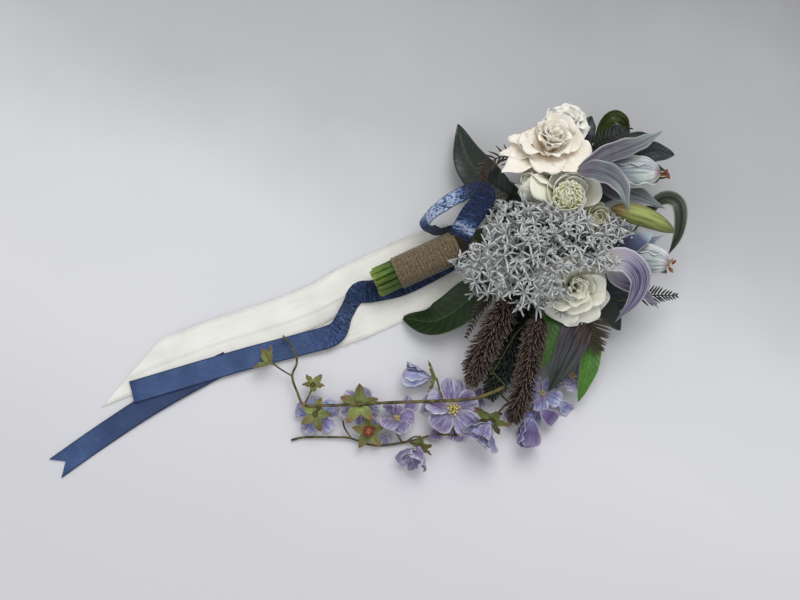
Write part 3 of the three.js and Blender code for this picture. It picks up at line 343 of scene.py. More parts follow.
def sheetPlace(tree):  # u and v of the sheet, and its tone
    split = put(tree, "ShaderNodeSeparateXYZ", {0: put(tree, "ShaderNodeUVMap", uv_map="petal").outputs[0]})
    tone = put(tree, "ShaderNodeAttribute", attribute_name="tone").outputs["Fac"]
    return split.outputs[0], split.outputs[1], tone


def fromMiddle(tree, u):  # 0 on the middle line of a sheet and 1 at its edges: |2u - 1|
    return calc(tree, "ABSOLUTE", timesPlus(tree, u, 2.0, -1.0))


# Petal or leaf. stops colour it from foot to tip. edge is (colour, where it starts, amount). streaks run
# along it: (colour, amount, how many). midrib is (colour, half width, amount). ribs are side veins: (colour,
# amount, how many, slant). mottle is (colour, amount, scale). shade is how much darker and lighter single
# petals are.
def sheetFinish(name, stops, edge=None, streaks=None, midrib=None, ribs=None, shade=0.12, mottle=None,
                roughness=0.6, sheen=0.0, specular=0.35, relief=0.25, glow=0.0):
    finish, tree, shader = startFinish(name, roughness, sheen, specular)
    u, v, tone = sheetPlace(tree)
    across = fromMiddle(tree, u)
    colour = ramp(tree, v, stops)
    where = objectPlace(tree)

    def over(mask, code):  # a colour laid over what there is
        return blend(tree, mask, colour, paint(code))

    if mottle:
        spots = ramp(tree, noise(tree, where, mottle[2]), [(0.42, 0.0), (0.62, 1.0)])
        colour = over(times(tree, spots, mottle[1]), mottle[0])
    if edge:
        colour = over(fade(tree, across, edge[1], 1.0, 0.0, edge[2], "SMOOTHSTEP"), edge[0])
    height = noise(tree, where, 420, 2.0)
    if streaks:
        spread = vector(tree, times(tree, u, streaks[2]), times(tree, v, 2.2), times(tree, tone, 37.0))
        lines = noise(tree, spread, 1.0, 2.0, 0.6)
        mask = ramp(tree, lines, [(0.44, 0.0), (0.62, 1.0)])
        colour = over(times(tree, mask, streaks[1]), streaks[0])
        height = timesPlus(tree, lines, 2.0, height)
    if ribs:
        slanted = timesPlus(tree, across, -ribs[3], times(tree, v, ribs[2]))
        line = calc(tree, "PINGPONG", slanted, 0.5)
        colour = over(times(tree, fade(tree, line, 0.0, 0.13, 1.0, 0.0, "SMOOTHSTEP"), ribs[1]), ribs[0])
        height = timesPlus(tree, line, 2.4, height)
    if midrib:
        line = fade(tree, across, 0.0, midrib[1], midrib[2], 0.0, "SMOOTHSTEP")
        colour = over(line, midrib[0])
        height = timesPlus(tree, line, -1.5, height)
    colourOn(tree, shader, lightened(tree, colour, fade(tree, tone, 0.0, 1.0, 1 - shade, 1 + 0.5 * shade)))
    bumpOn(tree, shader, height, relief, 0.35)
    if glow:
        shader.inputs["Subsurface Weight"].default_value = glow
        shader.inputs["Subsurface Radius"].default_value = (0.004, 0.003, 0.002)
    return finish


# Plain growth, such as stems and needles: two colours in patches by Object coordinates.
def patchFinish(name, low, high, scale=180, roughness=0.7, relief=0.4, spots=(0.4, 0.6)):
    finish, tree, shader = startFinish(name, roughness)
    patches = noise(tree, objectPlace(tree), scale, 4.0)
    colourOn(tree, shader, ramp(tree, patches, [(spots[0], low), (spots[1], high)]))
    bumpOn(tree, shader, patches, relief, 0.6)
    return finish


# The stages of making follow, from the handle outwards.
rng = np.random.default_rng(7)
stemEnd, tiePoint = np.array([-26.0, 15, 24]), np.array([85.0, 63, 40])
handleAxis = unit(tiePoint - stemEnd)
handleSide = unit(np.cross([0, 0, 1], handleAxis))
handleUp = np.cross(handleAxis, handleSide)

# Cut stems: a ring of six and a ring of twelve round the middle one, cut nearly level. Each is a tube whose
# radius has low ribs round it and swells a little along it.
cutStems = {"radius": 3.25, "pitch": 6.6, "length": 27, "stations": (-0.05, 9, 18), "uneven": 1.5, "ribs": 7,
            "ribDepth": 0.06, "swell": 0.03}


def makeCutStems():
    k = cutStems
    places = [(0, 0)]
    for ringAt, count in ((1, 6), (2, 12)):
        places += [(ringAt * k["pitch"], fullTurn * (i + 0.5) / count) for i in range(count)]
    grids = []
    for i, (reach, angle) in enumerate(places):
        early = ((i * 5) % 4) - k["uneven"]
        off = around(handleSide, handleUp, angle) * reach
        ends = [stemEnd + handleAxis * d + off for d in (*(early + d for d in k["stations"]), k["length"])]
        phase = rng.random() * 6

        def radius(v, a):
            swell = 1 - k["swell"] * np.sin(9 * v + phase)
            return k["radius"] * swell * (1 + k["ribDepth"] * np.cos(k["ribs"] * a + phase))

        grids.append(tube(ends, radius, rows=12, sides=20, tone=rng.random()))
    finish = sheetFinish("cut green stem", [(0.0, "#b9c07c"), (0.012, "#8f9d48"), (0.2, "#678331"),
                                            (1.0, "#3e5a20")],
                         streaks=("#1e3010", 0.8, 26), shade=0.4, roughness=0.42, relief=0.5)
    piece("cut_stems", grids, finish)
    nodes["stems"].material_slots[0].material = patchFinish("green stem", "#232f16", "#3f4f25", 260, 0.55)


# Twine: one long winding on the handle, wound close, of two plies that turn round each other, over an inner
# sleeve, with loose hairs.
twine = {"radius": 0.78, "pitch": 1.45, "from": 24.5, "narrowFrom": 96, "to": 120, "wide": 18.55,
         "narrow": 10.1, "perTurn": 34, "plyDepth": 0.16, "plyTurns": 13, "sleeve": 1.5, "hairs": 520,
         "hairRadius": 0.06}


def twineReach(d):  # distance of the twine's outside from the handle's axis
    k = twine
    return np.interp(d, [k["from"], k["narrowFrom"], k["to"]], [k["wide"], k["wide"], k["narrow"]])


# The winding: its middle line is a helix that wanders and bulges by a few slow waves, and its ring swells
# twice on each way round, where the plies are.
def twineWinding():
    k = twine
    turns = (k["to"] - k["from"]) / k["pitch"]
    steps = int(turns * k["perTurn"])
    d = np.linspace(k["from"] + k["radius"], k["to"] - k["radius"], steps)
    theta = fullTurn * turns * np.linspace(0, 1, steps)
    out = handleSide * np.cos(theta)[:, None] + handleUp * np.sin(theta)[:, None]
    wander = 0.13 * np.sin(theta * 0.37) + 0.11 * np.sin(theta * 1.73) + 0.06 * np.sin(theta * 5.3)
    bulge = 0.13 * np.sin(theta * 0.61) + 0.13 * np.sin(theta * 2.27)
    reach = twineReach(d) - k["radius"] - 0.2 + bulge
    middle = stemEnd + handleAxis * (d + wander)[:, None] + out * reach[:, None]
    a = np.linspace(0, fullTurn, 6, endpoint=False)
    ply = 1 + k["plyDepth"] * np.cos(2 * a[None, :] + k["plyTurns"] * theta[:, None])
    ring = out[:, None] * np.cos(a)[None, :, None] + handleAxis * np.sin(a)[None, :, None]
    uv = np.stack(np.broadcast_arrays(a[None, :] / fullTurn, theta[:, None] / 6), -1)
    points = middle[:, None] + ring * (k["radius"] * ply)[..., None]
    return {"points": points, "uv": uv, "tone": 0.5, "closed": True}


def twineFinish():  # fibres along the plies, and painted shade on the flanks of each winding, in the grooves where the turns meet
    finish, tree, shader = startFinish("jute twine", 0.95, 0.25, 0.2)
    u, v, tone = sheetPlace(tree)
    fibres = noise(tree, vector(tree, times(tree, u, 3.0), times(tree, v, 70.0), tone), 1.0, 4.0, 0.7)
    patches = noise(tree, objectPlace(tree), 90, 3.0)
    colour = ramp(tree, fibres, [(0.34, "#3a2f21"), (0.48, "#75664d"), (0.64, "#b8a585")])
    colour = blend(tree, times(tree, patches, 0.4), colour, paint("#6f5d44"))
    outward = calc(tree, "COSINE", times(tree, u, fullTurn))
    # Painted shade: the colour turns dark brown on each winding's flanks, away from its outward side.
    colourOn(tree, shader, blend(tree, fade(tree, outward, 0.4, 0.95, 1.0, 0.0), colour, paint("#261d15")))
    bumpOn(tree, shader, fibres, 0.8, 0.5)
    return finish


def makeTwine():
    k = twine
    grids = [twineWinding()]
    under = [stemEnd + handleAxis * x for x in (k["from"] + 0.4, 60, k["narrowFrom"], k["to"] - 0.4)]
    inner = lambda v, a: twineReach(k["from"] + (k["to"] - k["from"]) * v) - k["sleeve"]
    # The sleeve takes the twine's finish, so its painted groove shade darkens the sleeve most of the way
    # round.
    grids.append(tube(under, inner, rows=30, sides=40))
    for _ in range(k["hairs"]):
        x, angle = rng.uniform(k["from"] + 1, k["to"] - 2), rng.uniform(0, fullTurn)
        out = around(handleSide, handleUp, angle)
        foot = stemEnd + handleAxis * x + out * (twineReach(x) - 0.3)
        lean = unit(np.cross(handleAxis, out) * rng.choice([-1, 1]) + handleAxis * rng.normal(0, 0.5))
        tip = foot + lean * rng.uniform(1.5, 4.5) + out * rng.uniform(0.5, 1.5)
        hair = [foot, (foot + tip) / 2 + out * 0.4, tip]
        grids.append(tube(hair, k["hairRadius"], rows=3, sides=3, tone=rng.random()))
    piece("twine_winding", grids, twineFinish(), ["twine_binding"])


makeCutStems()
makeTwine()
print("handle made")


# Ribbon: a strip of constant width along a curve. Its end may be cut to a swallowtail, where the middle of
# the strip ends short of its corners, or at a slant. Its surface rises by the sum of low crinkles, creases
# where it is crushed, a step where one layer lies on another, and pleats along it.
def ribbon(points, width, rows, cols, phase, crinkle, roll=(0, 0), notch=0, slant=0, start=0, pleat=(0, 2),
           crushed=(0, 0), layer=0):
    v, u = np.meshgrid(np.linspace(0, 1, rows + 1), np.linspace(-1, 1, cols + 1), indexing="ij")
    line = curvePoint(points, np.linspace(0, 1, 400))
    length = np.linalg.norm(np.diff(line, axis=0), axis=1).sum()
    at = v - v**6 * notch / length * (1 - np.abs(u)) - v * slant / length * (1 + u) / 2
    where, _, side, normal = ribAlong(points, roll=roll)(at)
    s = at * length
    crushed = np.interp(v, np.linspace(0, 1, len(crushed)), crushed)
    fold = np.sin(s * 0.31 + 2 * u + phase) * np.sin(s * 0.083 + phase)
    fold += 0.6 * np.sin(s * 0.73 - 3 * u + 2 * phase)
    crease = np.sin(s * 0.62 + 2.6 * u + 2 * np.sin(s * 0.17)) * np.sin(s * 0.29 - 2.3 * u + phase)
    crease += 0.6 * np.sin(s * 0.83 - 3.6 * u + 1.3)
    lift = crinkle * (fold + 1.6) * (0.55 + 0.45 * np.abs(u)) + 0.3 * crushed * crease * (1 - 0.75 * u**2)
    layerEdge = -0.3 + 0.14 * np.sin(s * 0.011 + phase)
    lift += layer * (0.5 + 0.5 * np.tanh((u - layerEdge) * 22)) * np.clip(4 * v, 0, 1)
    drift = phase + 0.9 * np.sin(s * 0.021 + phase) + 0.5 * np.sin(s * 0.057)
    height, count = pleat
    lift += height * (1 + np.sin(math.pi * count * u + drift)) * (0.6 + 0.4 * np.sin(s * 0.017 + phase))
    points = where + side * (u * width / 2)[..., None] + normal * lift[..., None]
    uv = np.stack([(u + 1) / 2, (s + start) / 100], -1)
    return {"points": points, "uv": uv, "tone": crushed, "closed": False}, length


# Crushed velvet: ridges that run across the ribbon, with painted glints on them and painted shade in the
# hollows between, and dark edges. The tone of a ribbon says how crushed it is, and so how much of these it
# gets. Its v is in tenths of a metre, from 0 on the loop and from 2 on the tails, so that a ramp over v /
# 2.5 paints how much light each part catches.
def velvetFinish():
    finish, tree, shader = startFinish("crushed velvet", 0.32, 0.1, 0.25)
    u, v, tone = sheetPlace(tree)
    slanted = vector(tree, timesPlus(tree, u, 2.2, times(tree, v, 6.0)),
                     timesPlus(tree, u, -2.6, times(tree, v, 27.0)), times(tree, tone, 9.0))
    waves = noise(tree, slanted, 1.0, 2.5, 0.5, 1.0)
    ridge = calc(tree, "SUBTRACT", 1.0, calc(tree, "ABSOLUTE", timesPlus(tree, waves, 4.0, -2.0)),
                 clamp=True)
    broad = noise(tree, objectPlace(tree), 34, 2.0)
    weave = noise(tree, objectPlace(tree), 1300, 3.0, 0.7)
    plain = ramp(tree, timesPlus(tree, weave, 0.6, times(tree, broad, 0.4)),
                 [(0.35, "#2b3f66"), (0.5, "#3a507c"), (0.65, "#4b6592")])
    # Painted light along the ribbon by its v: bright bands on the loop's limbs, dark at its top turn, one
    # even level on the tails.
    paintedLight = ramp(tree, times(tree, v, 0.4),
               [(0.0, "#202020"), (0.12, "#505050"), (0.18, "#f8f8f8"), (0.3, "#e4e4e4"), (0.37, "#303030"),
                (0.5, "#202020"), (0.6, "#808080"), (0.65, "#ffffff"), (0.69, "#707070"), (0.8, "#b0b0b0"),
                (1.0, "#b0b0b0")])
    # Painted glints: the painted light and the ridges pick a colour from dark navy shade to a pale blue
    # highlight.
    shine = timesPlus(tree, broad, 0.1, timesPlus(tree, paintedLight, 0.45, times(tree, ridge, 0.5)))
    paintedGlints = ramp(tree, shine, [(0.15, "#0b1022"), (0.4, "#141d38"), (0.6, "#263862"), (0.74, "#6380b4"),
                                  (0.88, "#c6d6f2")])
    onTails = calc(tree, "GREATER_THAN", v, 1.9)
    # Painted shade: each tail is blended halfway to dark navy over its first tenth of a metre, fading out by
    # two tenths, for the shade of the twine and stems.
    paintedTailShade = times(tree, fade(tree, v, 3.0, 4.0, 0.5, 0.0), onTails)  # the tails are darker by the twine
    colour = blend(tree, paintedTailShade, blend(tree, tone, plain, paintedGlints), paint("#151e38"))
    rim = fade(tree, fromMiddle(tree, u), 0.86, 0.98, 0.0, 0.75)
    colourOn(tree, shader, blend(tree, rim, colour, paint("#17223f")))
    shader.inputs["Sheen Tint"].default_value = paint("#8fabdf")
    bumpOn(tree, shader, timesPlus(tree, times(tree, ridge, tone), 3.5, times(tree, weave, 0.5)), 0.9, 0.9)
    return finish


# Chiffon: thin ivory cloth, a little see-through, most of all at its frayed edges, with soft painted light
# and shade for its folds, and painted shade that makes it greyer near the twine.
def chiffonFinish():
    finish, tree, shader = startFinish("ivory chiffon", 0.85, 0.2, 0.25)
    u, v, tone = sheetPlace(tree)
    lines = noise(tree, vector(tree, times(tree, u, 34.0), times(tree, v, 3.0), tone), 1.0, 3.0, 0.6)
    # Painted light and shade of soft folds: a slow noise makes the cloth lighter and darker.
    foldLightAndShade = noise(tree, objectPlace(tree), 26, 2.0)
    cloth = ramp(tree, timesPlus(tree, lines, 0.1, times(tree, foldLightAndShade, 0.9)),
                 [(0.3, "#e6e5dd"), (0.5, "#f0efe8"), (0.7, "#f5f4ef")])
    # Painted shade near the twine: the strip is greyer at its start, fading out by 170 mm along it.
    colourOn(tree, shader, blend(tree, fade(tree, v, 0.5, 1.7, 0.45, 0.0), cloth, paint("#b5b4a8")))
    rim = fade(tree, fromMiddle(tree, u), 0.8, 1.0, 0.0, 0.5)
    cover = calc(tree, "SUBTRACT", fade(tree, lines, 0.3, 0.6, 0.9, 0.97), rim)
    tree.links.new(cover, shader.inputs["Alpha"])
    bumpOn(tree, shader, lines, 0.08, 0.2)
    return finish


# Ribbons and strips: the points of the middle line of each, and what shapes it. Lengths are in millimetres
# and rolls in degrees, listed from the start of a ribbon to its end.
velvet = {"width": 25, "crinkle": 0.28, "thick": 0.7}
velvetRibbons = {
    "velvet_tail_upper": {
        "points": [[64, 47, 17.1], [33, 31, 8], [0, 16, 4.2], [-30, 9, 6], [-48, 5, 11], [-60, -17, 13.5],
                   [-73, -40, 12.5], [-111, -51, 4.2], [-181, -70, 4.2], [-295, -104, 4]],
        "roll": (0, 0, 0, 0, 0, 0, -12, -36, -54, -56, -44, -16, 0, 0, 0, 0, 0),
        "crushed": (0.95, 0.9, 0.85, 0.85, 0.9, 0.8, 0.15, 0.05, 0.05), "start": 200,
        "on": ["chiffon_upper_cloth"]},
    "velvet_tail_lower": {
        "points": [[-190, -70, 2.7], [-221, -86, 2.7], [-275, -117, 2.2], [-329, -153, 0.6],
                   [-376, -187, 0.6]],
        "crushed": (0.3, 0.05, 0, 0), "start": 200, "notch": 13},
    "velvet_loop": {
        "points": [[58, 74, 36], [42, 70, 38], [29.5, 76, 45], [35, 86, 52], [55, 98, 63], [75, 106, 72],
                   [90, 105, 78], [88, 92, 82], [77, 79, 76], [69, 67, 62], [64, 59, 50]],
        "roll": (-88, -82, -60, -42, -38, -30, -15, -4, 0), "crushed": (0.6, 0.8, 1, 1, 1, 0.9, 0.9, 1),
        "held": "stretched"},
}
chiffon = {"width": 46, "thick": 0.25, "frays": 420, "frayLength": (2, 8), "frayRadius": 0.11}
chiffonStrips = {
    "chiffon_lower": {
        "points": [[72, 41, 8], [50, 26, 3], [22, 10, 0.5], [-45, -21, 0.5], [-111, -42, 0.5],
                   [-200, -60, 0.5]],
        "crinkle": 0.1, "pleat": (0.2, 1.7)},
    "chiffon_upper": {
        "points": [[60, 62, 11], [30, 54, 4], [0, 42, 1.6], [-54, 17, 1.6], [-112, -14, 1.6],
                   [-222, -52, 1.6], [-338, -99, 0.7]],
        "crinkle": 0.22, "pleat": (0.6, 1.7), "layer": 1.5, "slant": 50},
}


def makeRibbons():
    k = velvet
    finish = velvetFinish()
    for name, own in velvetRibbons.items():
        notch = own.get("notch", 0)
        roll, start = own.get("roll", (0, 0)), own.get("start", 0)
        grid, length = ribbon(own["points"], k["width"], 130, 12, len(name), k["crinkle"], roll, notch,
                              start=start, crushed=own["crushed"])
        obj = piece(name + "_cloth", [grid], finish, [name], thick=k["thick"])


# Frays of a strip: thin threads that start on its edges and run out and along.
def fraysOf(cloth):
    k = chiffon
    threads = []
    rows, cols = cloth.shape[:2]
    for _ in range(k["frays"]):
        i, edge = rng.integers(4, rows - 2), rng.choice([0, -1])
        foot = cloth[i, edge]
        out = unit(foot - cloth[i, cols // 2])
        along = unit(cloth[i + 1, edge] - foot)
        reach = rng.uniform(*k["frayLength"]) * rng.uniform(0.3, 1)
        tip = foot + out * reach * 0.5 + along * reach * rng.choice([-1, 1]) * rng.uniform(0.5, 1)
        middle = (foot + tip) / 2 + out * rng.uniform(0.3, 1.5)
        tip[2], middle[2] = max(0.3, tip[2]), max(0.4, middle[2] + 0.3)
        threads.append(tube([foot, middle, tip], k["frayRadius"], rows=4, sides=3, tone=rng.random()))
    return threads


def makeChiffon():
    k = chiffon
    finish = chiffonFinish()
    fringe, tree, shader = startFinish("chiffon threads", 0.9, 0.2, 0.2)
    colourOn(tree, shader, ramp(tree, noise(tree, objectPlace(tree), 200),
                                [(0.4, "#d9d9d2"), (0.6, "#f3f2ea")]))
    for name, own in chiffonStrips.items():
        slant = own.get("slant", 0)
        grid, length = ribbon(own["points"], k["width"], 150, 40, len(name) * 1.7, own["crinkle"],
                              slant=slant, pleat=own["pleat"], layer=own.get("layer", 0))
        obj = piece(name + "_cloth", [grid], finish, [name], thick=k["thick"])
        frays = piece(name + "_frays", fraysOf(grid["points"]), fringe)


makeChiffon()
makeRibbons()
print("ribbons laid")


# Ring of petals round a bloom's axis, with the same places as the solids under them, each a little
# different. turns says at what angle each stands, or with what length of its own. jitter is the spread of
# the angles and of the size.
def ring(stand, turns, length, opening, halfWidth, cup, rise=0, foot=2, roll=8, jitter=(3, 0.06), **shape):
    grids = []
    for turn in turns:
        turn, own = (turn if isinstance(turn, (tuple, list)) else (turn, length))
        spin, size = rng.normal(0, jitter[0]), 1 + rng.normal(0, jitter[1])
        tilt = rng.normal(0, jitter[0])
        rib = ribArched(stand, turn + spin, foot, rise, own * size,
                        (opening[0] + tilt, opening[1] + 1.5 * tilt), roll)
        grids.append(blade(rib, halfWidth * size, cup=cup, phase=rng.uniform(0, 6), tone=rng.random(),
                           **shape))
    return grids


def evenly(count, start=0):  # angles of a ring of so many, in degrees
    return [start + 360 * i / count for i in range(count)]


# All the rings of a bloom. A row is: turns, length, the angles of foot and tip from the axis, half width,
# cup radius, rise along the axis, lean and tip of the outline, and what else differs from the bloom's look.
def ringsOf(stand, look, rows):
    grids = []
    for turns, length, opening, halfWidth, cup, rise, lean, tip, own in rows:
        shape = {**look, "rise": rise, "lean": lean, "tip": tip, **own}
        grids += ring(stand, turns, length, opening, halfWidth, cup, **shape)
    return grids


# The peach at the foot of each cream petal is painted warm shade.
creamPetal = sheetFinish(
    "cream petal",
    [(0.0, "#dda577"), (0.2, "#ecc9a4"), (0.4, "#f6eadb"), (0.6, "#f7f1e6"), (1.0, "#f4efe5")],
    edge=("#f8f3e8", 0.6, 0.7), streaks=("#e6d3b8", 0.3, 9), shade=0.05, roughness=0.7, sheen=0.1,
    specular=0.2, relief=0.18, glow=0.5)
whitePetal = sheetFinish(
    "pure white petal", [(0.0, "#c6c3a0"), (0.25, "#e9e6d4"), (1.0, "#f8f6ee")],
    edge=("#fdfdfb", 0.7, 0.7), streaks=("#dcdccf", 0.3, 9), shade=0.06, sheen=0.15, relief=0.2, glow=0.12)
ivoryPetal = sheetFinish(
    "white petal", [(0.0, "#a9ab6c"), (0.2, "#d0d1a8"), (0.5, "#e6e5d7"), (1.0, "#edece5")],
    edge=("#fdfcf8", 0.7, 0.7), streaks=("#d9dcbd", 0.3, 9), shade=0.06, sheen=0.15, relief=0.18, glow=0.12)
greenWhitePetal = sheetFinish(
    "greenish white petal", [(0.0, "#aaa851"), (0.3, "#d6d493"), (0.65, "#efedca"), (1.0, "#f8f6e8")],
    edge=("#fdfcf2", 0.6, 0.7), streaks=("#cfcf92", 0.4, 8), shade=0.08, relief=0.2, glow=0.12)
roseHeartPetal = sheetFinish(
    "white rose heart petal", [(0.0, "#a3a656"), (0.2, "#d3d29b"), (0.5, "#e9e8d4"), (1.0, "#f0efe5")],
    edge=("#f6f5ec", 0.6, 0.7), streaks=("#cfd0a6", 0.35, 8), shade=0.08, roughness=0.65, specular=0.25,
    relief=0.2, glow=0.15)

# Open cream rose: long outer petals, then shorter ones, and a rolled heart round a core. Its petals are
# painted peach towards their feet, as warm shade deep in the folds.
rolled = {"wave": 0.8, "curl": 2.0, "roll": 20}
creamRose = {
    "base": [160, 148, 64], "facing": [0.12, 0.31, 0.94],
    "look": {"rows": 18, "cols": 13, "wave": 1.4, "curl": 3.0, "rough": 0.6, "roll": 12},
    "rings": [
        ([(164, 46), (186, 60), (214, 63)], 50, (62, 98), 18, 40, 5, 0.6, 0.95, {"foot": 4}),
        ([(247, 28), (282, 24), (320, 29), (358, 33), (38, 29), (84, 17), (128, 28)], 34, (62, 100), 19, 44,
         5, 0.8, 0.38, {"foot": 4}),
        ([(20, 37), (80, 26), (140, 35), (200, 46), (260, 39), (320, 38)], 41, (48, 72), 20, 30, 8, 0.8, 0.4,
         {"jitter": (6, 0.1)}),
        (evenly(6, 50), 37, (36, 50), 17, 20, 10, 0.7, 0.34, {"jitter": (7, 0.1)}),
        (evenly(5, 82), 34, (22, 24), 15, 15, 12, 0.65, 0.26, {}),
        (evenly(4, 10), 31, (12, 12), 12, 9.5, 13, 0.6, 0.24, {"foot": 1.5, **rolled}),
        (evenly(3, 60), 28, (6, 8), 9, 6, 14, 0.6, 0.24, {"foot": 1, **rolled})],
    "core": (0, 12, 20), "coreRadius": 7.5, "thick": 0.5,
}


def makeCreamRose():
    k = creamRose
    stand = standing(k["base"], k["facing"])
    grids = ringsOf(stand, k["look"], k["rings"])
    core = lambda v, a: k["coreRadius"] * np.sin(math.pi * (0.08 + 0.9 * v))
    grids.append(tube([stand[0] + stand[3] * high for high in k["core"]], core, sides=16))
    piece("cream_rose", grids, creamPetal, ["rose_cream"], thick=k["thick"])


# Blooms of rings alone: the ruffled white one behind the rose, the half-open white bud whose broad petals
# close over each other, and the small greenish one that is half hidden.
plainBlooms = {
    "ruffled_bloom": {
        "base": [182, 177, 40], "facing": [0.0, 0.5, 0.86], "turn": 20, "node": "bloom_ruffled",
        "slot": "ivory", "finish": whitePetal,
        "look": {"rows": 16, "cols": 14, "wave": 2.2, "waves": 3.5, "rough": 0.5, "curl": 1.5, "roll": 14},
        "rings": [(evenly(6), 28, (40, 84), 13, 30, 4, 0.8, 0.26, {}),
                  (evenly(6, 25), 29, (26, 60), 13, 20, 7, 0.8, 0.26, {}),
                  (evenly(5, 50), 28, (14, 40), 12, 15, 8, 0.8, 0.26, {}),
                  (evenly(4, 10), 26, (6, 22), 10, 9, 9, 0.8, 0.26, {})]},
    "white_bud": {
        "base": [168, 100, 61], "facing": [-0.74, 0.32, 0.6], "turn": 0, "node": "bud_white",
        "slot": "ivory", "finish": roseHeartPetal,
        "look": {"rows": 18, "cols": 14, "wave": 0.5, "rough": 0.35, "jitter": (2, 0.03), "roll": 14},
        "rings": [(evenly(3), 52, (43, -27), 23, 23, 0, 0.7, 0.34, {"roll": 20}),
                  (evenly(3, 60), 49, (36, -26), 20.5, 20, 3, 0.7, 0.34, {}),
                  (evenly(3, 20), 42, (25, -22), 15, 15, 5, 0.7, 0.34, {}),
                  (evenly(2, 90), 38, (14, -14), 10, 9, 6, 0.7, 0.34, {})]},
    "greenish_bloom": {
        "base": [208, 74, 60], "facing": [0.1, 0.04, 0.98], "turn": 15, "node": "bloom_pistachio",
        "slot": "pistachio", "finish": greenWhitePetal,
        "look": {"rows": 14, "cols": 12, "wave": 0.5, "rough": 0.3},
        "rings": [(evenly(4), 31, (58, -6), 13, 14, 0, 0.6, 0.3, {}),
                  (evenly(4, 45), 29, (44, -8), 11, 11, 2, 0.6, 0.3, {}),
                  (evenly(3, 20), 26, (26, -8), 8.5, 8, 3, 0.6, 0.3, {}),
                  (evenly(3, 70), 23, (10, -6), 6, 5, 4, 0.6, 0.3, {})]},
}


def makePlainBloom(name):  # one of them, all its rings in one piece
    k = plainBlooms[name]
    grids = ringsOf(standing(k["base"], k["facing"], k["turn"]), k["look"], k["rings"])
    piece(name, grids, k["finish"], [k["node"]], thick=0.5)


# Ranunculus: cupped guard petals, and a ball packed with small petals that stand on edge. The small ones are
# laid from the ball's top down to below its middle, each a golden angle on from the last, inside a shell of
# five.
ranunculus = {
    "base": [179, 94, 69], "facing": [-0.06, 0.06, 0.99], "thick": 0.5,
    "look": {"rows": 16, "cols": 14, "wave": 0.5, "rough": 0.35, "jitter": (2, 0.03)},
    "guard": [([-60, -130, 160, 95], 41, (76, -10), 18.5, 23, 0, 0.7, 0.3, {"roll": 14}),
              ([-95, 130, 60, -20], 37, (72, -14), 15.5, 18, 2, 0.7, 0.3, {"roll": 12}),
              ([15], 44, (70, 30), 17, 24, 0, 0.8, 0.3, {"roll": 0})],
    "middle": [178.2, 94.8, 89.4], "ball": 14.6, "small": 56, "covered": 1.15, "sunk": 4, "length": 7.4,
    "halfWidth": 4.1, "goldenAngle": 137.5, "twist": 70, "core": 12.5, "smallThick": 0.45,
}


def makeRanunculus():
    k = ranunculus
    guard = ringsOf(standing(k["base"], k["facing"]), k["look"], k["guard"])
    piece("ranunculus_guard_petals", guard, ivoryPetal, ["ranunculus_guard"], thick=k["thick"])
    axes = standing(k["middle"], k["facing"])
    small = []
    for i in range(k["small"]):
        high = 1 - k["covered"] * (i + 0.5) / k["small"]
        polar = math.degrees(math.acos(high))
        reach = k["ball"] - k["sunk"]
        twist = rng.uniform(-k["twist"], k["twist"])
        rib = ribArched(axes, k["goldenAngle"] * i, reach * math.sin(math.radians(polar)), reach * high,
                        k["length"], (polar - 16, polar - 50), twist)
        small.append(blade(rib, k["halfWidth"], rows=7, cols=6, lean=0.5, tip=0.28, cup=4, curl=0.9,
                           wave=0.5, phase=rng.uniform(0, 6), tone=rng.random()))
    small += ring(axes, evenly(5), 30, (92, -30), 11.2, 13.6, lean=0.6, tip=0.34, rise=-13.4, foot=1,
                  roll=10, rows=14, cols=10)
    ends = [axes[0] + axes[3] * high for high in (-k["core"], 0, k["core"])]
    small.append(tube(ends, rounded(k["core"] - 0.1, plus=0.05), rows=14, sides=20))
    finish = sheetFinish("packed small petals", [(0.0, "#8a9440"), (0.4, "#c3ca84"), (0.75, "#f1f0d4"),
                                                 (1.0, "#fbf9ee")], shade=0.1, relief=0.2, glow=0.1)
    piece("ranunculus_ball", small, finish, ["ranunculus_heart"], thick=k["smallThick"])


# White rose low in the middle: broad outer petals, and a heart of its own piece.
whiteRose = {
    "base": [184, 8, 48], "facing": [0.06, -0.26, 0.96], "thick": 0.5,
    "look": {"rows": 18, "cols": 14, "wave": 0.9, "curl": 2.4, "rough": 0.4, "roll": 12},
    "outer": [([(250, 40), (322, 40), (34, 38), (106, 36), (178, 36), (286, 38)], 38, (60, 94), 20.5, 40, 5,
               0.8, 0.32, {"foot": 3})],
    "heart": [(evenly(5, 286), 34, (40, 64), 17, 26, 8, 0.75, 0.3, {"foot": 3}),
              (evenly(4, 20), 32, (26, 34), 14, 17, 9, 0.7, 0.28, {}),
              (evenly(4, 60), 30, (14, 16), 11, 11, 10, 0.65, 0.26, {}),
              (evenly(3, 100), 27, (8, 8), 8, 6.5, 11, 0.6, 0.26, {"foot": 1})],
}


def makeWhiteRose():
    k = whiteRose
    stand = standing(k["base"], k["facing"])
    outer = ringsOf(stand, k["look"], k["outer"])
    piece("white_rose_outer", outer, ivoryPetal, ["rose_white"], thick=k["thick"])
    heart = ringsOf(stand, k["look"], k["heart"])
    piece("white_rose_heart", heart, roseHeartPetal, thick=k["thick"])


makeCreamRose()
makePlainBloom("ruffled_bloom")
makePlainBloom("white_bud")
makeRanunculus()
makePlainBloom("greenish_bloom")
makeWhiteRose()
print("roses and ranunculus made")


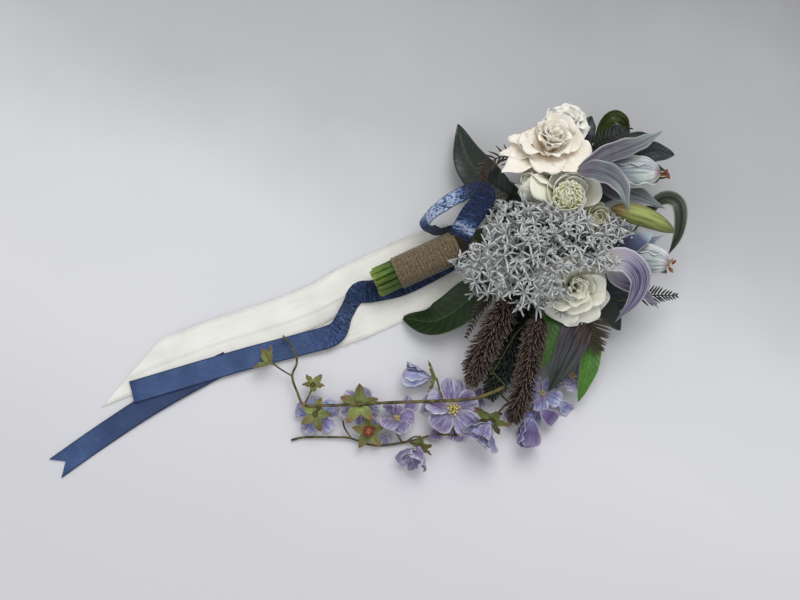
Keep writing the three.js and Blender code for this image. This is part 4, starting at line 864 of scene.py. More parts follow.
# Lilies: a bell of three broad petals, long petals thrown back from it, and stamens. A thrown petal is the
# points of its rib, its half width and the way its face looks. dark lists the thrown petals that are nearly
# black.
lilyPetal = sheetFinish(
    "lily petal",
    [(0.0, "#8f877d"), (0.14, "#6c6270"), (0.4, "#5d5964"), (0.7, "#7f8688"), (1.0, "#9fb0ac")],
    edge=("#d3d3d2", 0.78, 0.75), streaks=("#463a4e", 0.75, 17), midrib=("#3a3340", 0.08, 0.75),
    mottle=("#74868a", 0.5, 38), shade=0.14, sheen=0.25, relief=0.6, glow=0.08)
lilyBell = sheetFinish(
    "lily bell", [(0.0, "#3c4c50"), (0.25, "#7a8f92"), (0.6, "#b2c0bc"), (0.9, "#d3dad5"), (1.0, "#7a2a33")],
    edge=("#f2f1f0", 0.6, 0.85), streaks=("#4b5666", 0.6, 15), mottle=("#8c8aa4", 0.5, 40), shade=0.1,
    sheen=0.2, relief=0.6)
violetPetal = sheetFinish(
    "violet lily petal",
    [(0.0, "#a9b078"), (0.2, "#cbc8a8"), (0.36, "#a39cab"), (0.52, "#4a466a"), (1.0, "#706c88")],
    edge=("#dddbe0", 0.76, 0.75), streaks=("#bab5cb", 0.5, 17), midrib=("#38305a", 0.07, 0.6), shade=0.14,
    sheen=0.2, relief=0.6, glow=0.08)
inkPetal = sheetFinish(
    "dark lily petal",
    [(0.0, "#2a2940"), (0.5, "#23253d"), (0.72, "#3f4a66"), (0.86, "#9fadbb"), (1.0, "#bcc6cc")],
    edge=("#c9cfd6", 0.84, 0.6), streaks=("#4a4f6b", 0.4, 15), shade=0.1, roughness=0.55, sheen=0.2,
    relief=0.6)
lilyLook = {"rows": 26, "cols": 14, "wave": 1.1, "waves": 4.0, "rough": 0.3}
lilyUpper = {
    "base": [202, 122, 86], "facing": [0.96, -0.06, 0.14], "bell": (72, (25, -17), 20.5, 21),
    "thrown": [([[186, 122, 98], [219, 135, 107], [251, 148, 106], [278, 165, 97]], 11, [0, 0.3, 1]),
               ([[185, 120, 99], [207, 116, 111], [227, 101, 118], [237, 74, 112]], 11.5, [0, 0, 1]),
               ([[226, 108, 80], [254, 98, 82], [284, 86, 74]], 11, [0, -0.2, 0.95])],
    "finish": lilyPetal, "dark": (), "stamens": 3, "past": 4, "spread": 2.2, "headRadius": 1.9,
}
lilyLower = {
    "base": [214, 34, 86], "facing": [0.95, -0.2, 0.12], "bell": (67, (25, -15), 19.5, 20),
    "thrown": [([[198, 20, 97], [214, 23, 103], [234, 20, 110], [247, 4, 103], [244, -15, 84],
                 [228, -35, 60]], 12.5, [0, 0, 1]),
               ([[227, 34, 95], [247, 43, 105], [265, 55, 101]], 11.5, [0, 0.3, 1]),
               ([[232, 36, 80], [256, 44, 84], [277, 54, 88]], 8, [0, 0.4, 0.9]),
               ([[228, 14, 70], [254, -2, 72], [275, -20, 62]], 8, [0, -0.4, 0.9])],
    "finish": violetPetal, "dark": (1, 2), "stamens": 6, "past": 0, "spread": 4.6, "headRadius": 1.25,
}


def makeLily(name, k, node):
    stand = standing(k["base"], k["facing"])
    base, axis = stand[0], stand[3]
    length, opening, halfWidth, cup = k["bell"]
    bell = ring(stand, evenly(3, 60), length, opening, halfWidth, cup, rise=2, foot=1.5, roll=12, lean=0.9,
                tip=0.56, crease=0.5, jitter=(0, 0), **lilyLook)
    piece(name + "_bell", bell, lilyBell, thick=0.5)
    throat = base + axis * 9
    thrown, inked = [], []
    for i, (points, wide, up) in enumerate(k["thrown"]):
        rib = ribAlong(points if points[0][0] < throat[0] else [throat, *points], up)
        petal = blade(rib, wide * 1.12, lean=0.8, tip=1.2, cup=1.7 * wide, crease=0.6, curl=1.2,
                      phase=rng.uniform(0, 6), tone=rng.random(), **lilyLook)
        (inked if i in k["dark"] else thrown).append(petal)
    thrown.append(tube([base - axis, throat, throat + axis * 5], tapered(3.5, 6), rows=6, sides=16))
    piece(name + "_petals", thrown, k["finish"], [node], thick=0.5)
    if inked:
        piece(name + "_dark_petals", inked, inkPetal, thick=0.5)


# Stamens of both lilies: a thread from the throat to each head, spread round the axis, and a head across its
# tip that is a little flattened. Every second head of the lower lily is yellow.
def makeStamens():
    heads, threads = [], []
    for k in (lilyUpper, lilyLower):
        base, across, other, axis = standing(k["base"], k["facing"])
        count = k["stamens"]
        head = lambda v, a: (k["headRadius"] * np.sin(math.pi * np.clip(v, 0.04, 0.96)) ** 0.5
                             * (1 + 0.18 * np.cos(2 * a)))
        for i in range(count):
            out = around(across, other, math.radians(360 * i / count + 15))
            reach = k["bell"][0] + k["past"] + 2.5 * (i % 3)
            tip = base + axis * reach + out * (k["spread"] + 0.8 * (i % 2))
            path = [base + axis * 12, base + axis * 28.9 + out * 1.2,
                    base + axis * (reach * 0.75) + out * 2.8, tip]
            threads.append(tube(path, 0.5, rows=10, sides=6, tone=0.3))
            lean = unit(out + 0.5 * axis) * 3.3
            yellow = k is lilyLower and i % 2
            heads.append(tube([tip - lean, tip, tip + lean], head, rows=10, sides=10,
                              tone=0.9 if yellow else 0.1))
    threadFinish = patchFinish("stamen thread", "#a9b06a", "#d8d39a", 120, 0.5)
    finish, tree, shader = startFinish("pollen head", 0.85, 0.3)
    _, _, tone = sheetPlace(tree)
    dust = noise(tree, objectPlace(tree), 1500, 3.0)
    red = ramp(tree, dust, [(0.35, "#4a1514"), (0.65, "#8f3526")])
    yellow = ramp(tree, dust, [(0.35, "#6f5a20"), (0.65, "#b89c40")])
    colourOn(tree, shader, blend(tree, tone, red, yellow))
    bumpOn(tree, shader, dust, 0.7, 0.4)
    piece("stamen_threads", threads, threadFinish, ["lily_upper_stamens", "lily_lower_stamens"])
    piece("pollen_heads", heads, finish)


# Closed lily bud between the two open ones: a tube with the outline of a petal and three low ridges.
lilyBud = {"points": [[222, 82, 92], [241, 76, 97], [264, 68, 97], [289, 57, 88]], "radius": 10.5,
           "ridge": 0.12}


def makeLilyBud():
    k = lilyBud

    def radius(v, a):
        ridges = 1 + k["ridge"] * np.cos(3 * a) ** 3 + 0.03 * np.cos(6 * a)
        return k["radius"] * outlineAt(np.clip(v, 0.004, 0.996), 0.6, 0.62) * ridges

    finish = sheetFinish("lily bud skin", [(0.0, "#7d5c3c"), (0.2, "#93804f"), (0.42, "#95a05a"),
                                           (0.75, "#9aa35e"), (1.0, "#5c6a36")],
                         edge=("#8f7a45", 0.4, 0.4), streaks=("#3f4526", 0.55, 22), shade=0.0, roughness=0.5,
                         relief=0.5)
    piece("lily_bud_skin", [tube(k["points"], radius, rows=40, sides=48)], finish,
          ["lily_bud"])


makeLily("upper_lily", lilyUpper, "lily_upper_petals")
makeLily("lower_lily", lilyLower, "lily_lower_petals")
makeStamens()
makeLilyBud()
print("lilies made")

# Silver filler: felt-like stars in two layers over a dome between the blooms. Each star has pointed arms
# that bend a little, most of them spread sideways and a few upwards, and short barbs that give them a
# feathery edge.
silver = {"middle": [154, 38], "reach": [97, 62], "rim": 66, "dome": 54, "pitch": 13.0, "rowShare": 0.87,
          "stray": 1.8, "arms": (4, 8), "length": (8, 16), "girth": 1.15, "drop": (4, 14),
          "barbs": (0.3, 0.48, 0.62, 0.76, 0.9)}
sprayFeet = [[88, 36, 62], [118, 44, 78], [150, 44, 88], [196, 40, 90], [128, 16, 78]]
# What the stars leave in view: where each bloom is seen against the surface, and how far round it.
inView = [((191, 121), 30), ((158, 134), 29), ((226, 100), 17), ((213, 6), 32), ((241, 16), 11),
          ((258, 93), 14), ((290, 84), 14), ((270, 32), 33), ((253, 121), 20), ((77, 98), 24),
          ((97, 106), 15), ((84, 82), 20), ((60, 64), 20)]
eye = np.array([0, -217.06, 1231.03])


def inSight(spot, spare=3):  # whether a star at this place would hide a bloom from the camera
    seen = (eye + (spot - eye) * eye[2] / (eye[2] - spot[2]))[:2]
    return any(math.dist(seen, at) < reach - spare for at, reach in inView)


# One star: each arm is a tube along a line that bends sideways and up, thickest past its middle, with a
# radius that is uneven from ring to ring.
def star(foot, axis, size, tone, k):
    across = turnAbout(unit(np.cross(axis, [0.36, 0.48, 0.8])), axis, rng.uniform(0, 360))
    other = np.cross(axis, across)
    count = rng.integers(k["arms"][0], k["arms"][1] + 1)
    grids = []
    for i in range(count + 2):
        flat = i < count
        turn = fullTurn * i / count + rng.normal(0, 0.42)
        tilt = math.radians(rng.uniform(52, 92) if flat else rng.uniform(5, 35))
        lean = axis * math.cos(tilt) + around(across, other, turn) * math.sin(tilt)
        reach = size * rng.uniform(0.62, 1.15) * (1 if flat else 0.75)
        bend = unit(np.cross(lean, axis)) * rng.normal(0, 0.9) + axis * rng.uniform(-0.4, 1.1)
        lumps = 1 + rng.normal(0, 0.12, (7, 5))
        spike = lambda v, a: k["girth"] * (0.72 + 0.7 * v - 1.22 * v**2.2) * lumps
        points = [foot + lean * 0.2, foot + lean * reach * 0.4 + bend,
                  foot + lean * reach * 0.75 + bend * 1.1, foot + lean * reach + bend * 0.3]
        own = min(1, max(0, tone + rng.normal(0, 0.2)))
        grids.append(tube(points, spike, rows=6, sides=5, tone=own))
        for s in k["barbs"]:
            at = curvePoint(points, s)
            away = unit(np.cross(lean, rng.normal(0, 1, 3)))
            barb = (lean + 1.1 * away) * rng.uniform(1.3, 2.4) * (1.2 - 0.6 * s)
            grids.append(tube([at, at + barb], tapered(0.45, 0.12), rows=1, sides=3, tone=own))
    return grids


def silverFinish():  # felt that is darker at the foot of an arm, and painted shade that darkens the stars of the lower layer
    finish, tree, shader = startFinish("silver felt", 1.0, 0.9, 0.05)
    _, v, tone = sheetPlace(tree)
    felt = noise(tree, objectPlace(tree), 1200, 4.0, 0.7)
    colour = ramp(tree, v, [(0.0, "#5e6162"), (0.2, "#a9acac"), (0.7, "#d0d3d2"), (1.0, "#eef0ee")])
    colour = blend(tree, times(tree, felt, 0.35), colour, paint("#dfe1e0"))
    colourOn(tree, shader, lightened(tree, colour, fade(tree, tone, 0.0, 1.0, 0.5, 1.18)))
    shader.inputs["Sheen Tint"].default_value = paint("#e4e5e5")
    bumpOn(tree, shader, felt, 0.8, 0.6)
    return finish


# Places of the stars: rows of a net laid over an ellipse, each row and layer shifted, raised to the dome
# rim + dome times the square root of 1 - a a - b b, where a and b are shares of the two reaches.
def makeFiller():
    k = silver
    sprays = [[] for _ in sprayFeet]
    across, deep = k["reach"]
    pitch, rowPitch, stray = k["pitch"], k["rowShare"], k["stray"]
    rows, columns = int(deep / (pitch * rowPitch)) + 1, int(across / pitch) + 1
    count = 0
    for layer, j, i in ((layer, j, i) for layer in (0, 1) for j in range(-rows, rows + 1)
                        for i in range(-columns, columns + 1)):
        x = (i + 0.5 * (j % 2) + 0.33 * layer) * pitch + rng.normal(0, stray)
        y = (j + 0.4 * layer) * pitch * rowPitch + rng.normal(0, stray)
        a, b = x / across, y / deep
        low = 1 - a * a - b * b
        if low < 0:
            continue
        high = k["rim"] + k["dome"] * math.sqrt(low) + 8 * a - k["drop"][layer] + rng.normal(0, 2.2)
        spot = np.array([k["middle"][0] + x, k["middle"][1] + y, high])
        if inSight(spot):
            continue
        axis = unit(np.array([0.8 * a, 0.8 * b, 1.0]) + rng.normal(0, 0.42, 3))
        own = sprays[min(range(len(sprayFeet)), key=lambda s: math.dist(sprayFeet[s][:2], spot[:2]))]
        # The lower layer's lower tone, and the low tone of the threads under the stars, are painted shade.
        own += star(spot, axis, rng.uniform(*k["length"]), 0.72 - 0.5 * layer, k)
        down = spot - axis * 15 + rng.normal(0, 2, 3)
        thread = [spot + axis, (spot + down) / 2 + rng.normal(0, 1, 3), down]
        own.append(tube(thread, 0.8, rows=4, sides=5, tone=0.1))
        count += 1
    finish = silverFinish()
    for s, grids in enumerate(sprays):
        piece(f"silver_spray_{s + 1}", grids, finish, [f"filler_spray_{s + 1}"])
    print("filler stars", count)


makeFiller()

# Leaves: their finishes, then where each one runs.
leafGreen = sheetFinish(
    "green leaf", [(0.0, "#232f11"), (0.3, "#1b3010"), (0.8, "#18290f"), (1.0, "#223012")],
    edge=("#34501f", 0.92, 0.5), ribs=("#365022", 0.3, 14, 1.6), midrib=("#4c6a33", 0.035, 0.7),
    mottle=("#15290e", 0.45, 120), roughness=0.4, specular=0.3, relief=0.5)
leafFresh = sheetFinish(
    "fresh green leaf", [(0.0, "#345c17"), (0.4, "#3c701b"), (1.0, "#467321")],
    edge=("#6d9a3d", 0.88, 0.5), ribs=("#5f8f36", 0.35, 14, 1.6), midrib=("#86aa5a", 0.04, 0.7),
    mottle=("#2b5214", 0.45, 110), roughness=0.34, specular=0.5, relief=0.45)
leafDark = sheetFinish(
    "dark leaf", [(0.0, "#1a2013"), (0.4, "#152018"), (1.0, "#1b2a20")],
    edge=("#3b4a38", 0.92, 0.5), ribs=("#34443a", 0.3, 14, 1.6), midrib=("#465443", 0.035, 0.6),
    mottle=("#131c17", 0.5, 110), roughness=0.38, specular=0.5, relief=0.5)
leafPlum = sheetFinish(
    "plum leaf", [(0.0, "#38333d"), (0.4, "#4b4651"), (0.75, "#3b4842"), (1.0, "#2b3b34")],
    edge=("#5d5862", 0.82, 0.6), streaks=("#18151b", 0.8, 13), midrib=("#0f0c11", 0.08, 0.95),
    mottle=("#464343", 0.5, 60), roughness=0.45, relief=0.6)
leafStriped = sheetFinish(
    "strap leaf", [(0.0, "#39442f"), (0.5, "#2d382f"), (1.0, "#3a3d35")],
    edge=("#a9aa9b", 0.7, 0.8), streaks=("#6d7466", 0.5, 9), midrib=("#171c18", 0.2, 0.7), roughness=0.45,
    relief=0.5)
leafOlive = sheetFinish(
    "olive leaf", [(0.0, "#353d1a"), (0.5, "#3f4a1f"), (1.0, "#4f4f26")],
    edge=("#767544", 0.85, 0.5), ribs=("#2c3416", 0.4, 10, 1.4), midrib=("#6a6f3c", 0.06, 0.6),
    mottle=("#262c12", 0.4, 110), roughness=0.42, relief=0.45)
leafTeal = sheetFinish(
    "teal leaf", [(0.0, "#18211f"), (0.5, "#1f2c2c"), (1.0, "#2b3a3a")],
    edge=("#4a5a5a", 0.85, 0.5), ribs=("#34474a", 0.35, 13, 1.5), midrib=("#46585a", 0.04, 0.6),
    mottle=("#10191a", 0.5, 100), roughness=0.45, relief=0.45)
# Name, points of the rib, half width, finish, slot, and what differs in roll and shape.
leaves = [
    ("leaf_dark_left", [[124, 106, 46], [95, 128, 38], [76, 158, 28], [66, 200, 18]], 21, leafDark,
     "dark_leaf", {"cup": 60, "roll": (-10, -20), "tip": 0.9}),
    ("leaf_plum_top", [[205, 160, 30], [208, 184, 40], [214, 202, 38]], 10, leafPlum, "plum_leaf",
     {"cup": 30}),
    ("leaf_olive_top", [[219, 158, 34], [223, 180, 52], [232, 192, 64], [246, 191, 56], [253, 181, 44]], 8,
     leafOlive, "olive_leaf", {"cup": 16, "roll": (0, 50)}),
    ("leaf_teal_right", [[243, 140, 50], [270, 151, 64], [299, 150, 62]], 13, leafTeal, "teal_leaf",
     {"cup": 30}),
    ("leaf_strap", [[258, 72, 58], [280, 98, 68], [297, 90, 78], [298, 62, 72], [289, 40, 58]], 8,
     leafStriped, "plum_leaf", {"cup": 20, "roll": (-20, 40)}),
    ("leaf_green_left", [[103, 28, 36], [78, -2, 30], [40, -26, 18], [3, -21, 4]], 22, leafGreen,
     "green_leaf", {"cup": 60, "roll": (10, 25), "tip": 0.7}),
    ("leaf_green_low", [[162, -4, 33], [166, -30, 41], [158, -58, 37], [147, -84, 26]], 14, leafFresh,
     "green_leaf", {"cup": 26, "roll": (10, -20)}),
    ("leaf_plum_low", [[198, -16, 41], [189, -43, 45], [176, -74, 40], [160, -105, 30]], 17, leafPlum,
     "plum_leaf", {"cup": 44, "tip": 0.9}),
    ("leaf_green_right", [[203, -24, 30], [207, -56, 31], [202, -87, 27], [193, -116, 20]], 12, leafFresh,
     "green_leaf", {"cup": 30, "roll": (0, -20), "tip": 0.9}),
    ("leaf_dark_low", [[206, 2, 32], [224, -16, 34], [241, -38, 24]], 13, leafDark, "dark_leaf",
     {"cup": 34}),
]
underLeaves = [
    ("leaf_under_left", [[146, 84, 20], [118, 112, 3], [88, 134, 5]], 26),
    ("leaf_under_right", [[190, 112, 20], [232, 136, 3], [276, 150, 6]], 24),
    ("leaf_under_middle", [[112, 60, 20], [172, 58, 3], [246, 66, 8]], 32),
    ("leaf_under_low", [[176, 14, 20], [226, 6, 3], [276, 14, 6]], 24),
    ("leaf_under_front", [[128, 20, 20], [152, -16, 3], [190, -52, 8]], 26),
]
# Further leaves that belong to the same sprigs and fill the dark places behind the blooms.
moreLeaves = {
    "leaf_teal_right": [([[220, 150, 30], [238, 174, 38], [256, 194, 36]], 15),
                        ([[230, 152, 34], [256, 168, 42], [284, 178, 40]], 13),
                        ([[240, 132, 40], [268, 134, 52], [296, 130, 50]], 12)],
    "leaf_plum_top": [([[214, 158, 30], [232, 178, 40], [240, 196, 36]], 9)],
    "leaf_under_front": [([[142, 2, 16], [128, -44, 10], [112, -90, 6]], 19),
                         ([[150, -6, 16], [146, -50, 12], [138, -100, 6]], 15)],
    "leaf_under_right": [([[206, 120, 30], [232, 140, 42], [262, 156, 46]], 13)],
}
leafLook = {"lean": 0.6, "tip": 0.8, "rough": 0.3}
topLook = {**leafLook, "wave": 0.7, "waves": 3.0, "crease": 0.7}


# A leaf: a blade along the curve through its points, with its edges' waves at a random place.
def leaf(points, halfWidth, cup, rows, cols, look, roll=(0, 0)):
    return blade(ribAlong(points, roll=roll), halfWidth, rows=rows, cols=cols, cup=cup,
                 phase=rng.uniform(0, 6), **look)


def further(name):  # the further leaves of a sprig, cupped by 2.6 half widths
    grids = []
    for points, halfWidth in moreLeaves.get(name, []):
        grids.append(leaf(points, halfWidth, 2.6 * halfWidth, 26, 14, topLook))
        grids[-1]["tone"] = rng.random()
    return grids


def makeLeaves():  # the leaves in sight, then those that lie under the bouquet on the floor
    for name, points, halfWidth, finish, slot, own in leaves:
        shape = {key: own[key] for key in own if key not in ("roll", "cup")}
        face = leaf(points, halfWidth, own["cup"], 34, 18, {**topLook, **shape}, own.get("roll", (0, 0)))
        face["tone"] = rng.random()
        piece(name + "_face", [face, *further(name)], finish, [name], thick=0.6)
    for name, points, halfWidth in underLeaves:
        face = leaf(points, halfWidth, 110, 30, 18, leafLook)
        face["points"][..., 2] += max(0, 0.5 - face["points"][..., 2].min())  # laid on the floor
        piece(name + "_face", [face, *further(name)], leafTeal, [name], thick=0.6)


# Ferns: narrow leaflets in pairs on a bent rachis. A leaflet is as long as half the fern's width times a
# share that grows at first and falls towards the tip, and it leans forward more the nearer it is to the tip.
# A fern is its name, the points of its rachis, half width, pairs of leaflets, finish and slot.
blackFern = sheetFinish(
    "dark fern", [(0.0, "#121814"), (0.5, "#1d2620"), (1.0, "#323a34")],
    edge=("#4c544d", 0.8, 0.5), midrib=("#39423a", 0.1, 0.6), shade=0.35, roughness=0.5, relief=0.4)
bronzeFern = sheetFinish(
    "bronze fern", [(0.0, "#1b140f"), (0.4, "#30251d"), (1.0, "#52443a")],
    edge=("#85705b", 0.8, 0.6), midrib=("#1c130e", 0.1, 0.5), shade=0.4, relief=0.4)
ferns = [
    ("fern_dark_top", [[203, 149, 58], [223, 164, 64], [252, 182, 56]], 15, 11, blackFern, "black_fern"),
    ("fern_bronze_left", [[146, 132, 44], [116, 150, 54], [94, 138, 56], [91, 122, 50]], 13, 14, bronzeFern,
     "bronze_fern"),
    ("fern_dark_right", [[252, -6, 44], [274, -3, 46], [300, -2, 38]], 12, 11, blackFern, "black_fern"),
    ("fern_bronze_low", [[196, -20, 48], [204, -38, 49], [214, -60, 38]], 22, 11, bronzeFern, "bronze_fern"),
    ("fern_bronze_front", [[108, 8, 48], [88, -14, 44], [72, -46, 26]], 9, 15, bronzeFern, "bronze_fern"),
]


def makeFerns():
    for name, points, halfWidth, pairs, finish, slot in ferns:
        grids = [tube(points, tapered(0.85, 0.35), rows=16, sides=7, tone=0.2)]
        rib = ribAlong(points)
        for i in range(pairs):
            v = 0.16 + 0.82 * i / (pairs - 1)
            where, along, side, normal = rib(np.array(v))
            reach = halfWidth * 1.06 * min(1, 0.5 + 2.2 * v) * (1.12 - 0.85 * v**1.6)
            for hand in (-1, 1):
                lean = math.radians(34 + 22 * v + rng.normal(0, 3))
                way = around(side * hand, along, lean)
                tip = where + way * reach * 1.18 + normal * rng.normal(0.6, 0.5)
                mid = where + way * reach * 0.6 + normal * (1.0 + rng.normal(0, 0.3)) - along * 0.3
                leaflet = ribAlong([where + normal * 0.3, mid, tip], up=normal)
                grids.append(blade(leaflet, 0.8 + 0.02 * halfWidth, rows=10, cols=6, lean=0.5, tip=0.7,
                                   cup=4.5, crease=0.25, wave=0.15, phase=rng.uniform(0, 6),
                                   tone=rng.random()))
        piece(name + "_leaflets", grids, finish, [name], thick=0.35)


# Bottle-brush greens: rings of short blunt needles all round a stem. The rings are flattened and smaller at
# both ends, and a needle that would go through the floor is left out. A brush is its name, the points of its
# stem, how far its needles reach, its flat half height, finish and slot.
needleFinishes = {
    "bronze_fern": sheetFinish("bronze needle", [(0.0, "#120d0a"), (0.45, "#2c211b"), (0.85, "#594840"),
                                                 (1.0, "#8d7b6e")], shade=0.4, roughness=0.75, relief=0.3),
    "black_fern": sheetFinish("black needle", [(0.0, "#0d100e"), (0.5, "#1b201c"), (1.0, "#3c423c")],
                              shade=0.4, roughness=0.7, relief=0.3),
}
brushes = [
    ("brush_left", [[120, -4, 58], [103, -36, 50], [88, -66, 38], [77, -97, 22]], 18, 8, "bronze_fern"),
    ("brush_dark", [[142, -6, 28], [125, -46, 25], [111, -80, 21], [97, -111, 16]], 18, 7, "black_fern"),
    ("brush_right", [[150, -26, 58], [142, -58, 50], [133, -100, 36], [123, -138, 18]], 16, 7,
     "bronze_fern"),
]
brushLook = {"rings": 48, "needles": 17, "girth": 0.72, "lean": 28, "leastHeight": 0.6}


def makeBrushes():
    k = brushLook
    needle = lambda v, a: k["girth"] * (0.75 + 0.5 * v - 0.75 * v**3)
    for name, points, reach, girth, slot in brushes:
        grids = [tube(points, tapered(1.5, 0.8), rows=24, sides=8)]
        rib = ribAlong(points)
        for i in range(k["rings"]):
            v = 0.03 + 0.95 * i / (k["rings"] - 1)
            size = min(1, 0.6 + 2.4 * v) * min(1, 0.35 + 2.4 * (1 - v))
            where, along, side, normal = rib(np.array(v))
            for j in range(k["needles"]):
                turn = fullTurn * (j + 0.5 * (i % 2)) / k["needles"] + rng.normal(0, 0.16)
                out = around(side, normal, turn)
                flat = 1 - (1 - (girth + 3) / reach) * abs(math.sin(turn)) ** 1.5
                long = reach * size * flat * rng.uniform(0.85, 1.08)
                way = around(out, along, math.radians(k["lean"] + rng.normal(0, 6)))
                tip = where + way * long * 1.08 + along * 1.4
                mid = where + way * long * 0.6 + out * 0.8
                if tip[2] < k["leastHeight"]:
                    continue
                grids.append(tube([where + out * 0.8, mid, tip], needle, rows=5, sides=5, tone=rng.random()))
        piece(name + "_needles", grids, needleFinishes[slot], [name])


makeLeaves()
makeFerns()
makeBrushes()
print("greens made")


# Blossom vine: thin stems, pointed calyx leaves, and blue-violet blossoms. A calyx is its base, facing and
# turn, the angles of its leaves from the facing, and their length.
vineUpper = {
    "main": [[112, -101, 35], [98, -107, 31], [78, -113, 27], [45, -115, 25], [14, -116, 24],
             [-16, -117, 24], [-54, -119, 24], [-84, -120, 24], [-104, -119, 21], [-112, -105, 15],
             [-118, -87, 14], [-113, -72, 15], [-117, -58, 14], [-129, -42, 12]],
    "radii": (2.0, 1.1), "node": "vine_upper",
    "twigs": [[[45, -115, 25], [43, -103, 21], [40, -90, 17.4]],
              [[-118, -87, 14], [-130, -80, 15], [-140, -73, 18]],
              [[-84, -120, 24], [-89, -125, 23], [-92, -129, 20.4]],
              [[-54, -119, 24], [-49, -119, 22.4], [-44, -118.6, 20.5]],
              [[-104, -119, 21], [-99, -109, 19.5], [-95, -99, 18]]],
    "calyces": [([38.7, -90, 17.1], [-1, 0.05, -0.05], 30, (80, 60), 19),
                ([-141, -73, 18], [-0.7, 0.5, 0.5], 0, (60, 44), 19),
                ([-92, -129, 20.1], [0.1, 0, 1], 0, (86, 92), 17),
                ([-43.6, -118.6, 20.1], [0.1, 0, 1], 20, (84, 92), 21),
                ([-95, -98, 18], [0.2, 0.5, 0.8], 50, (70, 60), 13)],
}
vineLower = {
    "main": [[189.5, -88.3, 2], [172, -98, 1.7], [151, -108, 2], [132, -113, 8], [116, -118, 15],
             [106, -128, 14], [87, -143, 9], [64, -151, 8], [40, -150, 6], [7, -158, 3.5], [-27, -162, 4],
             [-55, -154, 5], [-71, -153, 4], [-104, -153, 3], [-119, -156, 2.5]],
    "radii": (1.2, 1.2), "node": "vine_lower",
    "twigs": [[[-53, -154.5, 5], [-60, -144, 11], [-62, -136, 17]],
              [[60, -151, 7.6], [58, -138, 5], [56.8, -124, 3.6]],
              [[2, -158, 4], [-4, -148, 3.2], [-6.6, -136.6, 2.7]],
              [[-41, -158, 4.5], [-37, -152, 8], [-34, -147, 11]],
              [[139, -111.5, 5.5], [145, -117, 16], [141.1, -126.7, 22]],
              [[106, -128, 14], [110, -129, 24], [101.3, -132.8, 31.3]],
              [[7, -158, 3.5], [15, -153, 9], [22, -154, 12], [24, -160.6, 10.2]]],
    "calyces": [([-34, -147, 11], [0, -0.15, 1], 20, (70, 84), 19),
                ([99.6, -134.9, 31.1], [-0.4, -0.6, 0.4], 40, (92, 84), 22),
                ([23.2, -162.1, 10.7], [-0.45, -0.75, 0.5], 0, (96, 84), 15)],
}
vineSkin = patchFinish("vine stem", "#38361e", "#6e6337", 140, 0.6, relief=0.5)
calyxLeaf = sheetFinish(
    "calyx leaf", [(0.0, "#a3b066"), (0.4, "#84924f"), (0.75, "#857a48"), (1.0, "#8e4a3a")],
    edge=("#8a9663", 0.8, 0.5), midrib=("#3f4c22", 0.1, 0.6), streaks=("#57653a", 0.5, 10), shade=0.3,
    mottle=("#80553f", 0.35, 70), roughness=0.55, relief=0.5)


# One branch of the vine: the stem's radius goes evenly from first to last, with a knot wherever the eighth
# power of sin 40 v is high, and its twigs. Each calyx is a ring of five leaves on a small cup.
def makeVine(k):
    first, last = k["radii"]

    def knots(v, a):
        return (first + (last - first) * v) * (1 + 0.1 * np.sin(40 * v) ** 8 + 0.03 * np.cos(3 * a))

    stems = [tube(k["main"], knots, rows=150, sides=10, tone=0.3)]
    stems += [tube(twig, tapered(0.95, 1.05), rows=16, sides=8, tone=0.6) for twig in k["twigs"]]
    piece(k["node"] + "_stem", stems, vineSkin, [k["node"]])
    grids = []
    for base, facing, turn, opening, length in k["calyces"]:
        stand = standing(base, facing, turn)
        grids += ring(stand, evenly(5), length, opening, 0.3 * length, 0.46 * length, rise=0.6, foot=1.2,
                      roll=6, lean=0.6, tip=0.95, wave=0.5, crease=0.4, rough=0.3, rows=12, cols=8,
                      jitter=(4, 0.06))
        cup = [stand[0] + stand[3] * high for high in (-1.5, 0.6, 2.4)]
        grids.append(tube(cup, tapered(1.3, 2.8), rows=6, sides=12))
    piece(k["node"] + "_calyx_leaves", offFloor(grids), calyxLeaf, thick=0.4)


makeVine(vineUpper)
makeVine(vineLower)

blossomPetals = {
    "blossom_blue_violet": ("#7a6296", [(0.0, "#e9e4ea"), (0.2, "#bfb8d0"), (0.5, "#a2a0c8"),
                                        (0.85, "#bcbcd8"), (1.0, "#e4e3ec")]),
    "blossom_light_blue": ("#8f84b4", [(0.0, "#e9e8ef"), (0.25, "#b9c1dd"), (0.6, "#90a0d2"),
                                       (1.0, "#d8ddec")]),
    "blossom_purple": ("#6a79ad", [(0.0, "#c6b8cc"), (0.25, "#7e6a98"), (0.6, "#5a4878"), (1.0, "#9a8fb0")]),
}
blossomFinishes = {
    name: sheetFinish(name, stops, edge=("#e6e3ea", 0.66, 0.75), streaks=("#5f4674", 0.75, 19),
                      midrib=("#5a3f78", 0.05, 0.5), mottle=(patch, 0.7, 42), shade=0.16, sheen=0.1,
                      relief=0.3, glow=0.12)
    for name, (patch, stops) in blossomPetals.items()
}
